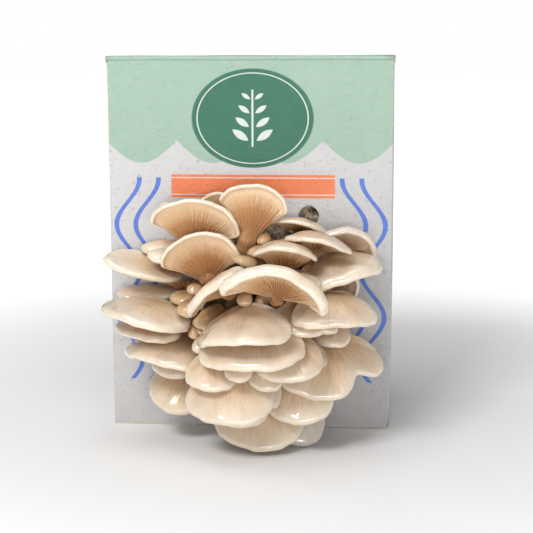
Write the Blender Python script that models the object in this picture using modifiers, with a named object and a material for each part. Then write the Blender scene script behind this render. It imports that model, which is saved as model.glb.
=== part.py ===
"""Oyster mushroom grow kit: a board carton, the grown block inside it, and the cluster on its front.

The frame stands on the middle of the carton's base, +Z up, with the front panel towards -Y.
A place on the cluster is written (x, out, z) in millimetres, where out is the distance in front
of the panel, because that is how the cluster is measured. MM turns it into metres.
"""

from dataclasses import dataclass

import bmesh
import bpy
import numpy as np

MM = 0.001

# The carton
WIDTH = 190.0
DEPTH = 98.0
HEIGHT = 251.5
BOARD = 1.5
FOLD_RADIUS = 1.2
LID_LIP = 0.8
LID_STOPS_SHORT = 3.0
FRONT = DEPTH / 2

# The opening that the cluster grew through, and the small round air hole
OPENING = (5.0, 103.0)
OPENING_SIZE = (76.0, 88.0)
AIR_HOLE = (39.5, 146.3)
AIR_HOLE_RADIUS = 6.7
HOLE_CUTTER_LENGTH = 9.0

# The grown block inside, and its clearance to the board
BLOCK_CLEARANCE = 2.0
BLOCK_TOP_GAP = 18.0
BLOCK_SOFT_EDGE = 7.0
TOUCHING_GAP = 0.35

# The fused stem butts: an ellipsoid in front of the panel with a neck through the opening
BASE_MIDDLE = (4.0, 4.0, 100.0)
BASE_RADII = (43.0, 24.0, 46.0)
BASE_LATITUDES = (-8, 16, 40, 64)
BASE_NECK_GAP = 2.0
BASE_SOFT_EDGE = 1.2

# Stems: how long each end keeps its heading as a share of the way, and how their roots share the base
STEM_END_GAP = 0.45
STEM_HANDLE = 0.35
ROOT_SPACING = 1.0
ROOT_PUSHES = 200
ROOT_PUSH_SHARE = 0.25
ROOT_LEAST_OUT = 0.12

# Shares that keep a cap's skin from folding into itself
CURL_BEHIND = 0.25
CURL_GROWS_OVER = 0.8
MOST_CURL = 0.4
MOST_MARGIN = 0.75
MOST_NECK = 0.7
MERGE_BEHIND = 0.9
MERGE_OVER = 0.7


@dataclass
class Mushroom:
    """One cap with its stem. Lengths are in millimetres and angles in degrees."""

    name: str
    tip: tuple
    toward: tuple
    face: tuple
    wide: float
    reach: float
    back: float = 7.0
    belly: float = None
    drop: float = 5.0
    flank: float = 7.0
    pinch: float = 0.0
    twist: float = 0.0
    margin: float = 3.6
    curl_radius: float = 3.8
    curl: float = 60.0
    neck: float = 5.5
    depth: float = 13.0
    funnel: float = 2.2
    lean: float = 45.0
    stem: float = 4.2
    lobes: int = 3
    wave: float = 0.02
    phase: float = 0.0
    notch: tuple = (0, 0, 1)
    small: bool = False
    colour: str = "cream"


CLUSTER = [
    # Fans that stand up and show their gills
    Mushroom("upper_left_fan", (-29, 32, 162.5), (0.14, 0.2, 0.97), (0.05, -0.98, 0.19), 62, 32,
             back=1.5, belly=12, pinch=0.8, curl=85, depth=7, funnel=1.5, stem=3.7),
    Mushroom("second_left_fan", (-30, 39.5, 142), (-0.17, 0.37, 1.26), (0, -0.96, 0.29), 55.5, 34,
             back=3.5, belly=15, drop=3.5, flank=7.5, pinch=0.8, curl=80, neck=4.6, depth=7, funnel=1.4,
             lean=28, stem=4.4),
    Mushroom("top_middle_fan", (8, 27.5, 171.5), (0.14, 0.15, 1.08), (0.18, -1.23, 0.14), 47, 31,
             back=0, belly=16, drop=3, flank=3.5, pinch=0.7, curl=70, neck=7, depth=11, funnel=1.5,
             lean=38, stem=6),
    Mushroom("small_back_fan", (-21.5, 14.5, 164), (-0.1, 0.1, 0.98), (0, -0.99, 0.11), 30, 20,
             back=5.5, flank=6.5, curl=30, neck=4.5, depth=7, lean=30, small=True),
    Mushroom("hidden_left_fan", (-57.5, 14, 157), (-0.5, 0.31, 0.59), (0.2, -0.79, 0.58), 20, 19.5,
             back=6, curl=50, depth=8, small=True),
    Mushroom("upper_right_fan", (34.5, 32.5, 147.5), (-0.02, 1.04, 0.28), (0.2, -0.28, 1.03), 38, 22,
             back=3.5, belly=7, drop=4.5, flank=6, pinch=0.6, margin=2.4, curl_radius=3.2, curl=40,
             neck=4.2, depth=9, funnel=1.1, lean=36, stem=4.7),
    Mushroom("right_band_fan", (51, 61, 139.5), (0.12, 1.05, 0.16), (0.24, -0.22, 1.15), 46, 29, back=5,
             belly=9, flank=7.5, pinch=0.6, margin=2.6, curl_radius=3.4, curl=45, neck=5.3, depth=11,
             funnel=1.1, lean=35, stem=3.9),
    Mushroom("centre_right_fan", (29.5, 69, 136), (0.07, 0.75, 0.16), (0.08, -0.17, 1), 44, 27,
             back=4.5, belly=8, drop=6, flank=10, pinch=0.6, margin=2.6, curl=50, neck=5.3, depth=19,
             funnel=1.1, lean=28),
    Mushroom("far_right_fan", (72, 23.5, 143.5), (0.39, 0.62, 0.71), (0.04, -0.74, 0.68), 45, 29.5,
             back=-4.5, belly=12, drop=4, flank=8, pinch=0.6, curl_radius=5, curl=85, depth=7,
             funnel=1.5, lean=58, stem=2.8),
    Mushroom("centre_big_fan", (28, 102.5, 131.5), (0.09, 0.62, 0.66), (0.16, -0.73, 0.67), 74.5, 33,
             back=1.5, belly=13, drop=8, flank=19, pinch=0.9, margin=4, curl_radius=6, curl=95, neck=4,
             depth=9, funnel=1.2, lean=32, stem=4.4),
    Mushroom("left_blade_fan", (-21.5, 89.5, 111.5), (-0.28, 0.95, 0.02), (-0.61, -0.2, 0.76), 50.5, 26,
             back=6.5, belly=8, drop=4, flank=5.5, curl_radius=4.5, curl=80, depth=11, stem=3.6),
    Mushroom("left_back_blade_fan", (-21, 58, 108.5), (-0.35, 1.23, -0.01), (-0.62, -0.12, 0.77), 43.5, 19.5,
             back=2, belly=8, drop=4, margin=3.2, curl_radius=4.5, curl=80, depth=6.5, lean=40,
             stem=3.7),
    Mushroom("grey_back_fan", (70.5, 28, 94.5), (0.4, 0.18, -0.62), (0.35, -0.94, -0.03), 25.5, 22,
             back=3, curl=40, depth=7, lean=0, stem=3.9, small=True),
    # Caps on the right that show their tops
    Mushroom("right_large_cap", (70, 56, 117.5), (0.42, 0.95, -0.01), (-0.16, 0.27, 0.97), 60, 41,
             back=5.5, belly=19, drop=6, flank=8, margin=4, curl_radius=5, curl=85, depth=7, lean=42,
             stem=3.9),
    Mushroom("right_sliver_cap", (40, 77.5, 113), (0.4, 1.05, 0.08), (-0.19, -0.07, 0.99), 35.5, 32.5,
             back=4, belly=12, drop=6.5, flank=5, curl=70, depth=9),
    Mushroom("right_lower_cap", (66.5, 78, 90.5), (0.44, 1.08, -0.3), (0.1, 0.27, 0.96), 59, 35, back=2,
             belly=16, drop=5.5, flank=8.5, curl=75, depth=12, lean=49),
    Mushroom("right_thin_cap", (78.5, 36.5, 85.5), (0.59, 0.75, -0.32), (0.17, 0.27, 0.95), 34, 30,
             back=6, belly=12, drop=5.5, flank=8.5, curl=70, neck=4.5, depth=9, lean=30, small=True),
    Mushroom("right_inner_cap", (42, 70.5, 81.5), (0.2, 0.62, -0.26), (0.17, 0.38, 0.91), 36.5, 30,
             back=1, belly=12, drop=5.5, flank=5.5, curl=70),
    Mushroom("right_small_upper_cap", (55.5, 54.5, 79.5), (0.31, 0.9, -0.26), (0.01, 0.27, 0.96), 20, 18,
             back=1.5, flank=4.5, neck=4.1, depth=7, small=True),
    Mushroom("right_small_lower_cap", (57, 53, 71), (0.03, 0.94, -0.32), (0.04, 0.31, 0.95), 27.5, 24,
             back=5.5, flank=6, depth=7, small=True),
    Mushroom("right_two_lobed_cap", (62.5, 63, 38), (0.22, 0.67, -0.59), (0.11, 0.63, 0.77), 72, 43.5,
             back=4, belly=18, drop=8, flank=7.5, margin=3.2, notch=(36, 0.3, 20)),
    # Caps in the middle
    Mushroom("centre_large_cap", (-2, 103, 84.5), (-0.2, 1.08, -0.23), (-0.16, 0.2, 0.97), 64.5, 40,
             back=5.5, belly=14, drop=5.5, flank=14, curl=75),
    Mushroom("centre_lower_cap", (9, 99, 67), (0.02, 1.03, -0.29), (-0.07, 0.27, 0.96), 69.5, 42,
             back=6, belly=16, drop=6.5, flank=7.5, margin=3.2, curl=80, depth=9),
    Mushroom("centre_right_lower_cap", (39.5, 85.5, 57), (0.41, 0.84, -0.42), (0, 0.45, 0.89), 47, 36,
             back=6, belly=14, drop=6.5, flank=6.5, margin=3.2, curl=75, depth=7, lean=40),
    Mushroom("centre_sliver_cap", (47, 67, 59.5), (0.54, 0.83, -0.41), (0.09, 0.39, 0.92), 35, 27,
             back=4.5, belly=12, depth=7, small=True),
    # Caps on the left
    Mushroom("far_left_cap", (-93, 29, 123.5), (-0.95, 0.3, 0.37), (0.43, 0.31, 0.85), 29.5, 47.5,
             back=5.5, belly=24, drop=4, flank=0, depth=10, lean=59),
    Mushroom("far_left_back_cap", (-72.5, 13, 127.5), (-0.98, 0.2, 0.08), (0.12, 0.11, 0.99), 20, 26,
             back=6, flank=6.5, neck=4.5, depth=7, lean=30, small=True),
    Mushroom("far_left_second_cap", (-65.5, 29, 125.5), (-0.88, 0.25, 0.11), (0.13, 0.1, 0.99), 20, 26,
             back=6, flank=8, neck=4.5, depth=7, lean=30, small=True),
    Mushroom("left_narrow_cap", (-87, 18.5, 98.5), (-1, 0.24, 0.09), (0.15, 0.2, 0.97), 27, 36, back=6,
             belly=20, drop=4, flank=6, depth=10),
    Mushroom("left_large_cap", (-69, 71.5, 90), (-0.28, 0.98, -0.01), (0.2, 0.06, 1.16), 63, 39.5,
             back=7.5, belly=15, drop=4, flank=6, curl=75, neck=5.8, lean=43),
    Mushroom("left_under_cap", (-73, 51, 76), (-0.46, 0.84, -0.01), (0.04, 0.11, 0.99), 50.5, 31.5,
             back=3, belly=12, drop=4.5, flank=4.5, curl=70, depth=7, lean=51),
    Mushroom("left_lower_cap", (-53.5, 65.5, 62), (-0.26, 1.03, -0.14), (0.08, 0.17, 0.92), 65.5, 40,
             back=5, belly=15, drop=5.5, flank=11.5, margin=3.8, curl=75, neck=5.3, depth=7, stem=3.7),
    Mushroom("left_lower_under_cap", (-48.5, 49.5, 47.5), (-0.12, 0.85, -0.46), (0.01, 0.47, 0.88), 33, 26,
             back=4, flank=6, neck=4.2, depth=11, lean=42, phase=0.5, small=True),
    Mushroom("left_tucked_cap", (-30, 61.5, 67.5), (-0.34, 0.74, -0.25), (0.01, 0.37, 0.93), 14, 16,
             back=2, flank=5, lean=49, small=True),
    Mushroom("left_brown_cap", (-24.5, 64, 83.5), (-0.32, 0.89, -0.24), (0.09, 0.29, 0.95), 26, 22,
             back=2, drop=5.5, flank=8.5, depth=9, lean=35, stem=3.9, small=True, colour="brown"),
    # Lowest caps
    Mushroom("bottom_tongue_left_cap", (-19, 85, 49), (-0.09, 0.9, -0.51), (0, 0.5, 0.87), 36.5, 26,
             back=5.5, flank=7.5, depth=7, lean=41, stem=3.3, small=True),
    Mushroom("bottom_tongue_middle_cap", (0, 88.5, 55.5), (-0.01, 0.85, -0.52), (0, 0.52, 0.85), 21.5, 20.5,
             back=5, flank=6, lean=51, small=True),
    Mushroom("bottom_tongue_right_cap", (18, 82.5, 48.5), (0.1, 0.79, -0.5), (0.06, 0.53, 0.85), 25.5, 24,
             back=4.5, flank=6, depth=8, small=True),
    Mushroom("bottom_left_cap", (-53.5, 43.5, 22.5), (-0.39, 0.6, -0.65), (-0.12, 0.69, 0.71), 46, 41,
             back=5, belly=20, drop=6.5, flank=7.5, curl=70, stem=4.7),
    Mushroom("bottom_centre_cap", (-8.5, 90.5, 28.5), (-0.09, 0.76, -0.58), (-0.11, 0.6, 0.79), 61, 41.5,
             back=5.5, belly=18, drop=7, flank=10, curl=75, depth=11, lean=53),
    Mushroom("bottom_centre_under_cap", (6.5, 74, 22.5), (0.35, 0.71, -0.69), (0.02, 0.71, 0.72), 39.5, 33.5,
             back=6.5, depth=12.5, small=True),
    Mushroom("bottom_sliver_cap", (20, 70, 33.5), (0.14, 0.71, -0.81), (0, 0.75, 0.66), 18, 26, back=3,
             flank=9, lean=49, small=True),
    Mushroom("bottom_right_cap", (38.5, 70, 23.5), (0.08, 0.72, -0.64), (-0.09, 0.67, 0.74), 47.5, 37.5,
             belly=16, drop=6.5, curl=70, depth=12),
    Mushroom("lowest_cap", (10.5, 67, 4.5), (0, 0.62, -0.73), (-0.03, 0.77, 0.64), 63, 48, back=5.5,
             belly=22, drop=6, flank=9, depth=10),
    Mushroom("lowest_grey_cap", (40.5, 48.5, 2), (0.25, 0.43, -0.85), (0.1, 0.88, 0.47), 37.5, 39.5,
             belly=18, flank=6, depth=10, small=True),
    # Small buttons between the stems
    Mushroom("left_round_button", (-33, 50.5, 102), (-0.15, 0.9, -0.25), (0.01, 0.27, 0.96), 12, 7,
             back=7.5, drop=4, flank=4.5, neck=4.7, depth=8, lean=40, small=True, colour="brown"),
    Mushroom("left_oval_button", (-42.5, 42.5, 94.5), (-0.28, 0.98, -0.3), (0.01, 0.3, 0.95), 21, 9,
             back=8, drop=3, flank=3, depth=9, stem=3, small=True, colour="brown"),
    Mushroom("left_pale_button", (-39.5, 56.5, 89), (-0.48, 0.8, -0.37), (-0.03, 0.44, 0.9), 18, 10.5,
             back=4.5, flank=6, lean=41, small=True, colour="brown"),
    Mushroom("middle_button", (3, 69, 97), (0.07, 1.09, -0.44), (0.01, 0.37, 0.93), 13, 8, back=5,
             drop=6, flank=5.5, depth=9, lean=40, small=True, colour="brown"),
    Mushroom("middle_small_button", (12.5, 60.5, 95), (0.2, 0.89, -0.32), (0.01, 0.33, 0.94), 9, 6,
             back=3.5, flank=6, depth=7, lean=35, small=True, colour="brown"),
    Mushroom("left_low_button", (-33, 55, 73.5), (-0.28, 0.9, -0.32), (-0.03, 0.32, 0.95), 10, 8,
             back=1, flank=4.5, depth=8, lean=30, stem=3.5, small=True, colour="brown"),
    Mushroom("left_low_small_button", (-26, 59, 76.5), (0.07, 0.89, -0.34), (0, 0.35, 0.94), 8, 7,
             depth=7, small=True, colour="brown"),
    Mushroom("upper_tucked_cap", (6, 50, 129), (-0.29, 0.81, 0.07), (0.11, -0.04, 0.99), 16, 12, back=3,
             drop=4.5, flank=5.5, neck=4, depth=7, lean=25, small=True, colour="brown"),
    Mushroom("upper_tucked_small_cap", (11.5, 42, 134), (-0.08, 0.57, 0.03), (0.04, -0.04, 1), 12, 9,
             back=2.5, drop=5.5, flank=6, depth=6, lean=30, small=True, colour="brown"),
    Mushroom("upper_tucked_fan", (-4, 56, 127), (-0.6, 0.6, 0.35), (0.35, -0.2, 0.9), 17, 12, back=4,
             drop=4, flank=4.5, depth=8, lean=30, small=True, colour="brown"),
]


def unit(vector):
    vector = np.asarray(vector, float)
    return vector / np.linalg.norm(vector)


def to_world(place):
    """(x, out, z) in millimetres to world metres."""
    x, out, z = np.moveaxis(np.asarray(place, float), -1, 0)
    return np.stack([x, -(FRONT + out), z], axis=-1) * MM


def axes_of(m):
    """Unit vectors in (x, out, z): forward along the fan, side across it, and up out of its top skin."""
    forward = unit(m.toward)
    up = unit(np.asarray(m.face, float) - np.dot(m.face, forward) * forward)
    # (x, out, z) is left handed, so the cross product is taken the other way round.
    side = np.cross(forward, up)
    return forward, side, up


def rim_outline(m, around):
    """Points of the rim: a half ellipse ahead of the widest line and another behind it, with soft lobes.

    Behind that line a pinch draws the sides in towards the stem.

    Gives each point's direction from the stem's axis as a cosine and a sine, and its distance.
    """
    turn = np.arange(around) / around * 2 * np.pi
    ahead = (m.reach - m.back) / 2 if m.belly is None else m.belly
    length = np.where(np.cos(turn) >= 0, m.reach - ahead, m.back + ahead)
    forward = ahead + length * np.cos(turn)
    side = m.wide / 2 * np.sin(turn) * (1 - m.pinch * np.clip(-np.cos(turn), 0, 1))
    distance = np.hypot(forward, side)
    place, bite, spread = m.notch
    from_notch = (np.degrees(turn) - place) / spread
    ripple = 1 + m.wave * np.sin(m.lobes * turn + m.phase) - bite * np.exp(-(from_notch**2))
    return forward / distance, side / distance, distance * ripple


def crown_height(m, forward, side):
    """Height of the top skin over the stem's top: a parabola each way, and a twist."""
    u = forward / m.reach
    w = side / (m.wide / 2)
    return -m.drop * u * u - m.flank * w * w + m.twist * u * w


def cap_rings(m, around, crown_steps, curl_steps, gill_steps):
    """Rings of the cap from the top of the crown, over the rolled margin and back under to the neck."""
    cos, sin, rim = rim_outline(m, around)
    ahead = np.cos(np.arange(around) / around * 2 * np.pi)
    from_behind = np.clip((1 + ahead) / CURL_GROWS_OVER, 0, 1)
    roll = np.radians(m.curl) * (CURL_BEHIND + (1 - CURL_BEHIND) * from_behind)
    radius = np.minimum(m.curl_radius, MOST_CURL * rim)
    thick = np.minimum(m.margin, MOST_MARGIN * radius)
    start = rim - radius * np.sin(np.minimum(roll, np.pi / 2))
    neck = np.minimum(m.neck, MOST_NECK * start)

    def at(r):
        return crown_height(m, r * cos, r * sin)

    step = 0.01
    slope = np.arctan((at(start + step) - at(start)) / step)
    along = np.array([np.cos(slope), np.sin(slope)])
    away = np.array([-np.sin(slope), np.cos(slope)])
    rings = []
    for t in np.arange(1, crown_steps + 1) / crown_steps:
        r = t * start
        rings.append((r, at(r)))
    curled = []
    for t in np.arange(1, curl_steps + 1) / curl_steps:
        turn = t * roll
        r = start + radius * (np.sin(turn) * along[0] - (1 - np.cos(turn)) * away[0])
        h = at(start) + radius * (np.sin(turn) * along[1] - (1 - np.cos(turn)) * away[1])
        normal = np.sin(turn) * along + np.cos(turn) * away
        curled.append((r, h, normal))
        rings.append((r, h))
    r, h, normal = curled[-1]
    tangent = np.array([normal[1], -normal[0]])
    rings.append((r + thick / 2 * (tangent[0] - normal[0]), h + thick / 2 * (tangent[1] - normal[1])))
    rings.append((r - thick * normal[0], h - thick * normal[1]))
    behind = MERGE_BEHIND * np.clip(-ahead / MERGE_OVER, 0, 1)
    under_r = start - thick * away[0]
    under_h = at(start) - thick * away[1]
    under_r = under_r + behind * (r - thick * normal[0] - under_r)
    under_h = under_h + behind * (h - thick * normal[1] - under_h)
    shift = [np.zeros(around)] * len(rings)
    for t in np.arange(0, gill_steps + 1) / gill_steps:
        r = under_r + (neck - under_r) * t
        fall = (m.depth - thick) * t**m.funnel
        h = under_h + (at(neck) - thick - under_h) * t - fall
        rings.append((r, h))
        shift.append(fall * np.tan(np.radians(m.lean)))
    places = []
    for (r, h), back in zip(rings, shift):
        places.append(np.stack([r * cos - back, r * sin, h], axis=-1))
    return np.array(places)


def base_point(direction, gap):
    """Point on the ellipsoid of the cluster base, lifted off it by a gap."""
    on_unit = unit(direction)
    point = np.asarray(BASE_MIDDLE) + np.asarray(BASE_RADII) * on_unit
    normal = unit(on_unit / np.asarray(BASE_RADII))
    return point + gap * normal, normal


def stem_rings(m, axes, neck_ring, root, root_normal, steps):
    """Rings down a curved stem: a cubic curve from the neck to its place on the base."""
    forward, _, up = axes
    centre = neck_ring.mean(axis=0)
    heading = unit(-up - np.tan(np.radians(m.lean)) * forward)
    span = np.linalg.norm(root - centre)
    reach = STEM_HANDLE * span
    handles = [centre, centre + heading * reach, root + root_normal * reach, root]
    spokes = neck_ring - centre
    rings = []
    for t in np.arange(1, steps + 1) / steps:
        weights = [(1 - t) ** 3, 3 * t * (1 - t) ** 2, 3 * t * t * (1 - t), t**3]
        place = sum(w * p for w, p in zip(weights, handles))
        slopes = [(1 - t) ** 2, 2 * t * (1 - t), t * t]
        tangent = unit(sum(w * (q - p) for w, p, q in zip(slopes, handles, handles[1:])))
        turned = turn_from_to(-up, tangent, spokes)
        lengths = np.linalg.norm(turned, axis=1, keepdims=True)
        wanted = m.stem + (m.neck - m.stem) * (1 - t) ** 3
        rings.append(place + turned / lengths * wanted)
    return rings


def turn_from_to(start, end, vectors):
    """Rotates vectors by the smallest turn that carries one direction onto another."""
    axis = np.cross(start, end)
    cosine = np.dot(start, end)
    if cosine < -0.999:
        return vectors
    cross = np.cross(np.broadcast_to(axis, vectors.shape), vectors)
    along = vectors @ axis
    return vectors * cosine + cross + np.outer(along, axis) / (1 + cosine)


def place_of(m):
    """The stem's top on the crown, in (x, out, z), and the cap's axes."""
    axes = axes_of(m)
    forward, _, up = axes
    return np.asarray(m.tip, float) - m.reach * forward + m.drop * up, axes


def roots():
    """Where each stem meets the base: as straight as it can, pushed apart until none share a place."""
    middle, radii = np.asarray(BASE_MIDDLE), np.asarray(BASE_RADII)
    directions = []
    for m in CLUSTER:
        origin, (forward, _, up) = place_of(m)
        neck = origin - m.depth * (up + np.tan(np.radians(m.lean)) * forward)
        directions.append(unit((neck - middle) / radii))
    directions = np.array(directions)
    size = np.array([m.stem for m in CLUSTER])
    apart = (size[:, None] + size[None, :] + ROOT_SPACING) / radii.mean()
    itself = np.eye(len(CLUSTER)) * apart.max() * 2
    for _ in range(ROOT_PUSHES):
        gap = directions[:, None] - directions[None, :]
        distance = np.linalg.norm(gap, axis=-1) + itself
        push = np.clip(apart - distance, 0, None) / distance
        directions = directions + ROOT_PUSH_SHARE * (gap * push[..., None]).sum(axis=1)
        directions[:, 1] = np.clip(directions[:, 1], ROOT_LEAST_OUT, None)
        directions /= np.linalg.norm(directions, axis=1, keepdims=True)
    return [base_point(direction, STEM_END_GAP) for direction in directions]


def sides_of(m):
    """How many sides the faceted cap has: more where it is wider."""
    if m.small:
        return 7 if m.wide < 16 else 8
    return 11 if m.wide >= 50 else 10


def mushroom_mesh(m, root, root_normal):
    """Vertices in (x, out, z) and faces of one mushroom as a closed skin."""
    around = sides_of(m)
    steps = (1, 1, 1, 2) if m.small else (1, 2, 2, 2)
    origin, axes = place_of(m)
    local = cap_rings(m, around, *steps[:3])
    rings = origin + local @ np.array(axes)
    stem = stem_rings(m, axes, rings[-1], root, root_normal, steps[3])
    rings = np.concatenate([rings, np.array(stem)])
    count = len(rings)
    points = np.concatenate([[origin], rings.reshape(-1, 3), [root]])
    faces = []
    for j in range(around):
        k = (j + 1) % around
        faces.append((0, 1 + j, 1 + k))
        for i in range(count - 1):
            a, b = 1 + i * around, 1 + (i + 1) * around
            faces.append((a + j, b + j, b + k))
            faces.append((a + j, b + k, a + k))
        last = 1 + (count - 1) * around
        faces.append((last + j, len(points) - 1, last + k))
    return points, faces


def set_material(made, name, colour, roughness):
    material = bpy.data.materials.new(name)
    material.use_nodes = True
    shader = material.node_tree.nodes["Principled BSDF"]
    shader.inputs["Base Color"].default_value = (*colour, 1)
    shader.inputs["Roughness"].default_value = roughness
    shader.inputs["Metallic"].default_value = 0
    made.data.materials.append(material)


def new_object(name, points, faces, collection):
    mesh = bpy.data.meshes.new(name)
    mesh.from_pydata([tuple(p) for p in points], [], faces)
    mesh.update()
    made = bpy.data.objects.new(name, mesh)
    collection.objects.link(made)
    return made


def new_box(name, low, high, collection):
    """A box between two corners given in millimetres of the world axes."""
    shape = bmesh.new()
    bmesh.ops.create_cube(shape, size=1)
    size = np.subtract(high, low)
    middle = np.add(high, low) / 2
    bmesh.ops.scale(shape, vec=size * MM, verts=shape.verts)
    bmesh.ops.translate(shape, vec=middle * MM, verts=shape.verts)
    mesh = bpy.data.meshes.new(name)
    shape.to_mesh(mesh)
    shape.free()
    made = bpy.data.objects.new(name, mesh)
    collection.objects.link(made)
    return made


def new_hole_cutter(name, centre, size, collection, around):
    """An elliptical rod along Y through the front panel."""
    shape = bmesh.new()
    bmesh.ops.create_cone(shape, cap_ends=True, segments=around, radius1=0.5, radius2=0.5, depth=1)
    for vertex in shape.verts:
        x, y, z = vertex.co
        vertex.co = (
            (centre[0] + x * size[0]) * MM,
            (-FRONT + z * HOLE_CUTTER_LENGTH) * MM,
            (centre[1] - y * size[1]) * MM,
        )
    mesh = bpy.data.meshes.new(name)
    shape.to_mesh(mesh)
    shape.free()
    made = bpy.data.objects.new(name, mesh)
    collection.objects.link(made)
    return made


def add_boolean(made, other, operation):
    change = made.modifiers.new(other.name, "BOOLEAN")
    change.operation = operation
    change.object = other
    change.solver = "EXACT"


def make_helper(made):
    made.hide_render = True
    made.display_type = "WIRE"


def build_carton(kit, cutters):
    """One folded board box: four walls, base and lid, with a lid edge that stands proud in front."""
    half = WIDTH / 2
    carton = new_box("carton", (-half, -FRONT, 0), (half, FRONT, HEIGHT), kit)
    fold = carton.modifiers.new("folds", "BEVEL")
    fold.width = FOLD_RADIUS * MM
    fold.segments = 2
    lid = new_box(
        "carton_lid_edge",
        (-half - LID_LIP, -FRONT - LID_LIP, HEIGHT - BOARD),
        (half + LID_LIP, FRONT - LID_STOPS_SHORT, HEIGHT + LID_LIP),
        cutters,
    )
    inside = new_box(
        "carton_inside",
        (-half + BOARD, -FRONT + BOARD, BOARD),
        (half - BOARD, FRONT - BOARD, HEIGHT - BOARD),
        cutters,
    )
    opening = new_hole_cutter("carton_opening", OPENING, OPENING_SIZE, cutters, 28)
    hole = new_hole_cutter("carton_air_hole", AIR_HOLE, (2 * AIR_HOLE_RADIUS,) * 2, cutters, 16)
    add_boolean(carton, lid, "UNION")
    for cutter in (inside, opening, hole):
        add_boolean(carton, cutter, "DIFFERENCE")
    for helper in (lid, inside, opening, hole):
        make_helper(helper)
    set_material(carton, "printed_board", (0.62, 0.68, 0.62), 0.55)


def build_block(kit):
    """The grown sawdust block, standing loose inside the carton."""
    side = WIDTH / 2 - BOARD - BLOCK_CLEARANCE
    deep = FRONT - BOARD - BLOCK_CLEARANCE
    block = new_box(
        "substrate_block",
        (-side, -deep, BOARD + TOUCHING_GAP),
        (side, deep, HEIGHT - BOARD - BLOCK_TOP_GAP),
        kit,
    )
    soft = block.modifiers.new("soft_edges", "BEVEL")
    soft.width = BLOCK_SOFT_EDGE * MM
    soft.segments = 2
    set_material(block, "grown_sawdust", (0.16, 0.11, 0.08), 0.9)


def build_cluster_base(kit):
    """Fused stem butts: an ellipse that comes through the opening and swells to an ellipsoid."""
    around = 18
    turn = np.arange(around) / around * 2 * np.pi
    behind = -(BOARD + BLOCK_CLEARANCE) + TOUCHING_GAP
    narrow = np.array(OPENING_SIZE) / 2 - BASE_NECK_GAP
    sections = [
        (behind, OPENING, narrow - BASE_NECK_GAP),
        (behind + BASE_SOFT_EDGE, OPENING, narrow),
        (TOUCHING_GAP, OPENING, narrow),
    ]
    middle, radii = BASE_MIDDLE, BASE_RADII
    for latitude in BASE_LATITUDES:
        angle = np.radians(latitude)
        sections.append((
            middle[1] + radii[1] * np.sin(angle),
            (middle[0], middle[2]),
            (radii[0] * np.cos(angle), radii[2] * np.cos(angle)),
        ))
    points = [(OPENING[0], behind, OPENING[1])]
    for out, centre, size in sections:
        for spoke in turn:
            points.append((centre[0] + size[0] * np.cos(spoke), out, centre[1] - size[1] * np.sin(spoke)))
    points.append((middle[0], middle[1] + radii[1], middle[2]))
    faces = []
    last = len(points) - 1
    for j in range(around):
        k = (j + 1) % around
        faces.append((0, 1 + j, 1 + k))
        for i in range(len(sections) - 1):
            a, b = 1 + i * around, 1 + (i + 1) * around
            faces.append((a + j, b + j, b + k, a + k))
        ring = 1 + (len(sections) - 1) * around
        faces.append((ring + j, last, ring + k))
    base = new_object("cluster_base", to_world(points), faces, kit)
    set_material(base, "stem_butts", (0.62, 0.5, 0.38), 0.6)


def build_mushrooms(kit):
    colours = {"cream": (0.78, 0.69, 0.57), "brown": (0.5, 0.33, 0.2)}
    for m, (root, normal) in zip(CLUSTER, roots()):
        points, faces = mushroom_mesh(m, root, normal)
        made = new_object(m.name, to_world(points), faces, kit)
        made.data.shade_smooth()
        set_material(made, m.name, colours[m.colour], 0.45)


def main():
    for old in list(bpy.data.objects):
        bpy.data.objects.remove(old)
    kit = bpy.data.collections.new("oyster_mushroom_grow_kit")
    cutters = bpy.data.collections.new("cutters")
    for collection in (kit, cutters):
        bpy.context.scene.collection.children.link(collection)
    build_carton(kit, cutters)
    build_block(kit)
    build_cluster_base(kit)
    build_mushrooms(kit)


main()
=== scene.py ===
"""Oyster mushroom grow kit: looks for the printed board carton, the grown block and the cluster.

Shapes are worked out in millimetres and become metres as each mesh is made. Places on the cluster are
(x, out, z), where out is the distance in front of the panel.
"""

from dataclasses import dataclass

import bpy
import numpy as np
from mathutils import Matrix, Vector


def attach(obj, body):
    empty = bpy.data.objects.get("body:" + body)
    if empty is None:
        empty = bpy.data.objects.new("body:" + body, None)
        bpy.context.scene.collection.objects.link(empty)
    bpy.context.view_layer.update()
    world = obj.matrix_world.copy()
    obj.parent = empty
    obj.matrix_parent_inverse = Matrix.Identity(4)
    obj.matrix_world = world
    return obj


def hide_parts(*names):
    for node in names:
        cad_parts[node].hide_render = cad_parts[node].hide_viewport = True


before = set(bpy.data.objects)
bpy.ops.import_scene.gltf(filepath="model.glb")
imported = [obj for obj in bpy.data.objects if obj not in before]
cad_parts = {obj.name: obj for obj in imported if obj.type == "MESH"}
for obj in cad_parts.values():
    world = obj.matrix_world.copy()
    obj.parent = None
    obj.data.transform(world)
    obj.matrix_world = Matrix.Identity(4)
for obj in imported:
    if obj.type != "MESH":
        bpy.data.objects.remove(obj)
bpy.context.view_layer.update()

MM = 0.001
WIDTH = 190.0
DEPTH = 98.0
HEIGHT = 251.5
BOARD = 1.5
FRONT = DEPTH / 2
OPENING = (5.0, 103.0)
OPENING_SIZE = (76.0, 88.0)
AIR_HOLE = (39.5, 146.3)
AIR_HOLE_RADIUS = 6.7
BASE_MIDDLE = (4.0, 4.0, 100.0)
BASE_RADII = (43.0, 24.0, 46.0)

# Shares that keep a cap's skin from folding into itself
CURL_BEHIND = 0.25
CURL_GROWS_OVER = 0.8
MOST_CURL = 0.4
MOST_MARGIN = 0.75
MOST_NECK = 0.7
MERGE_BEHIND = 0.9
MERGE_OVER = 0.7


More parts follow.
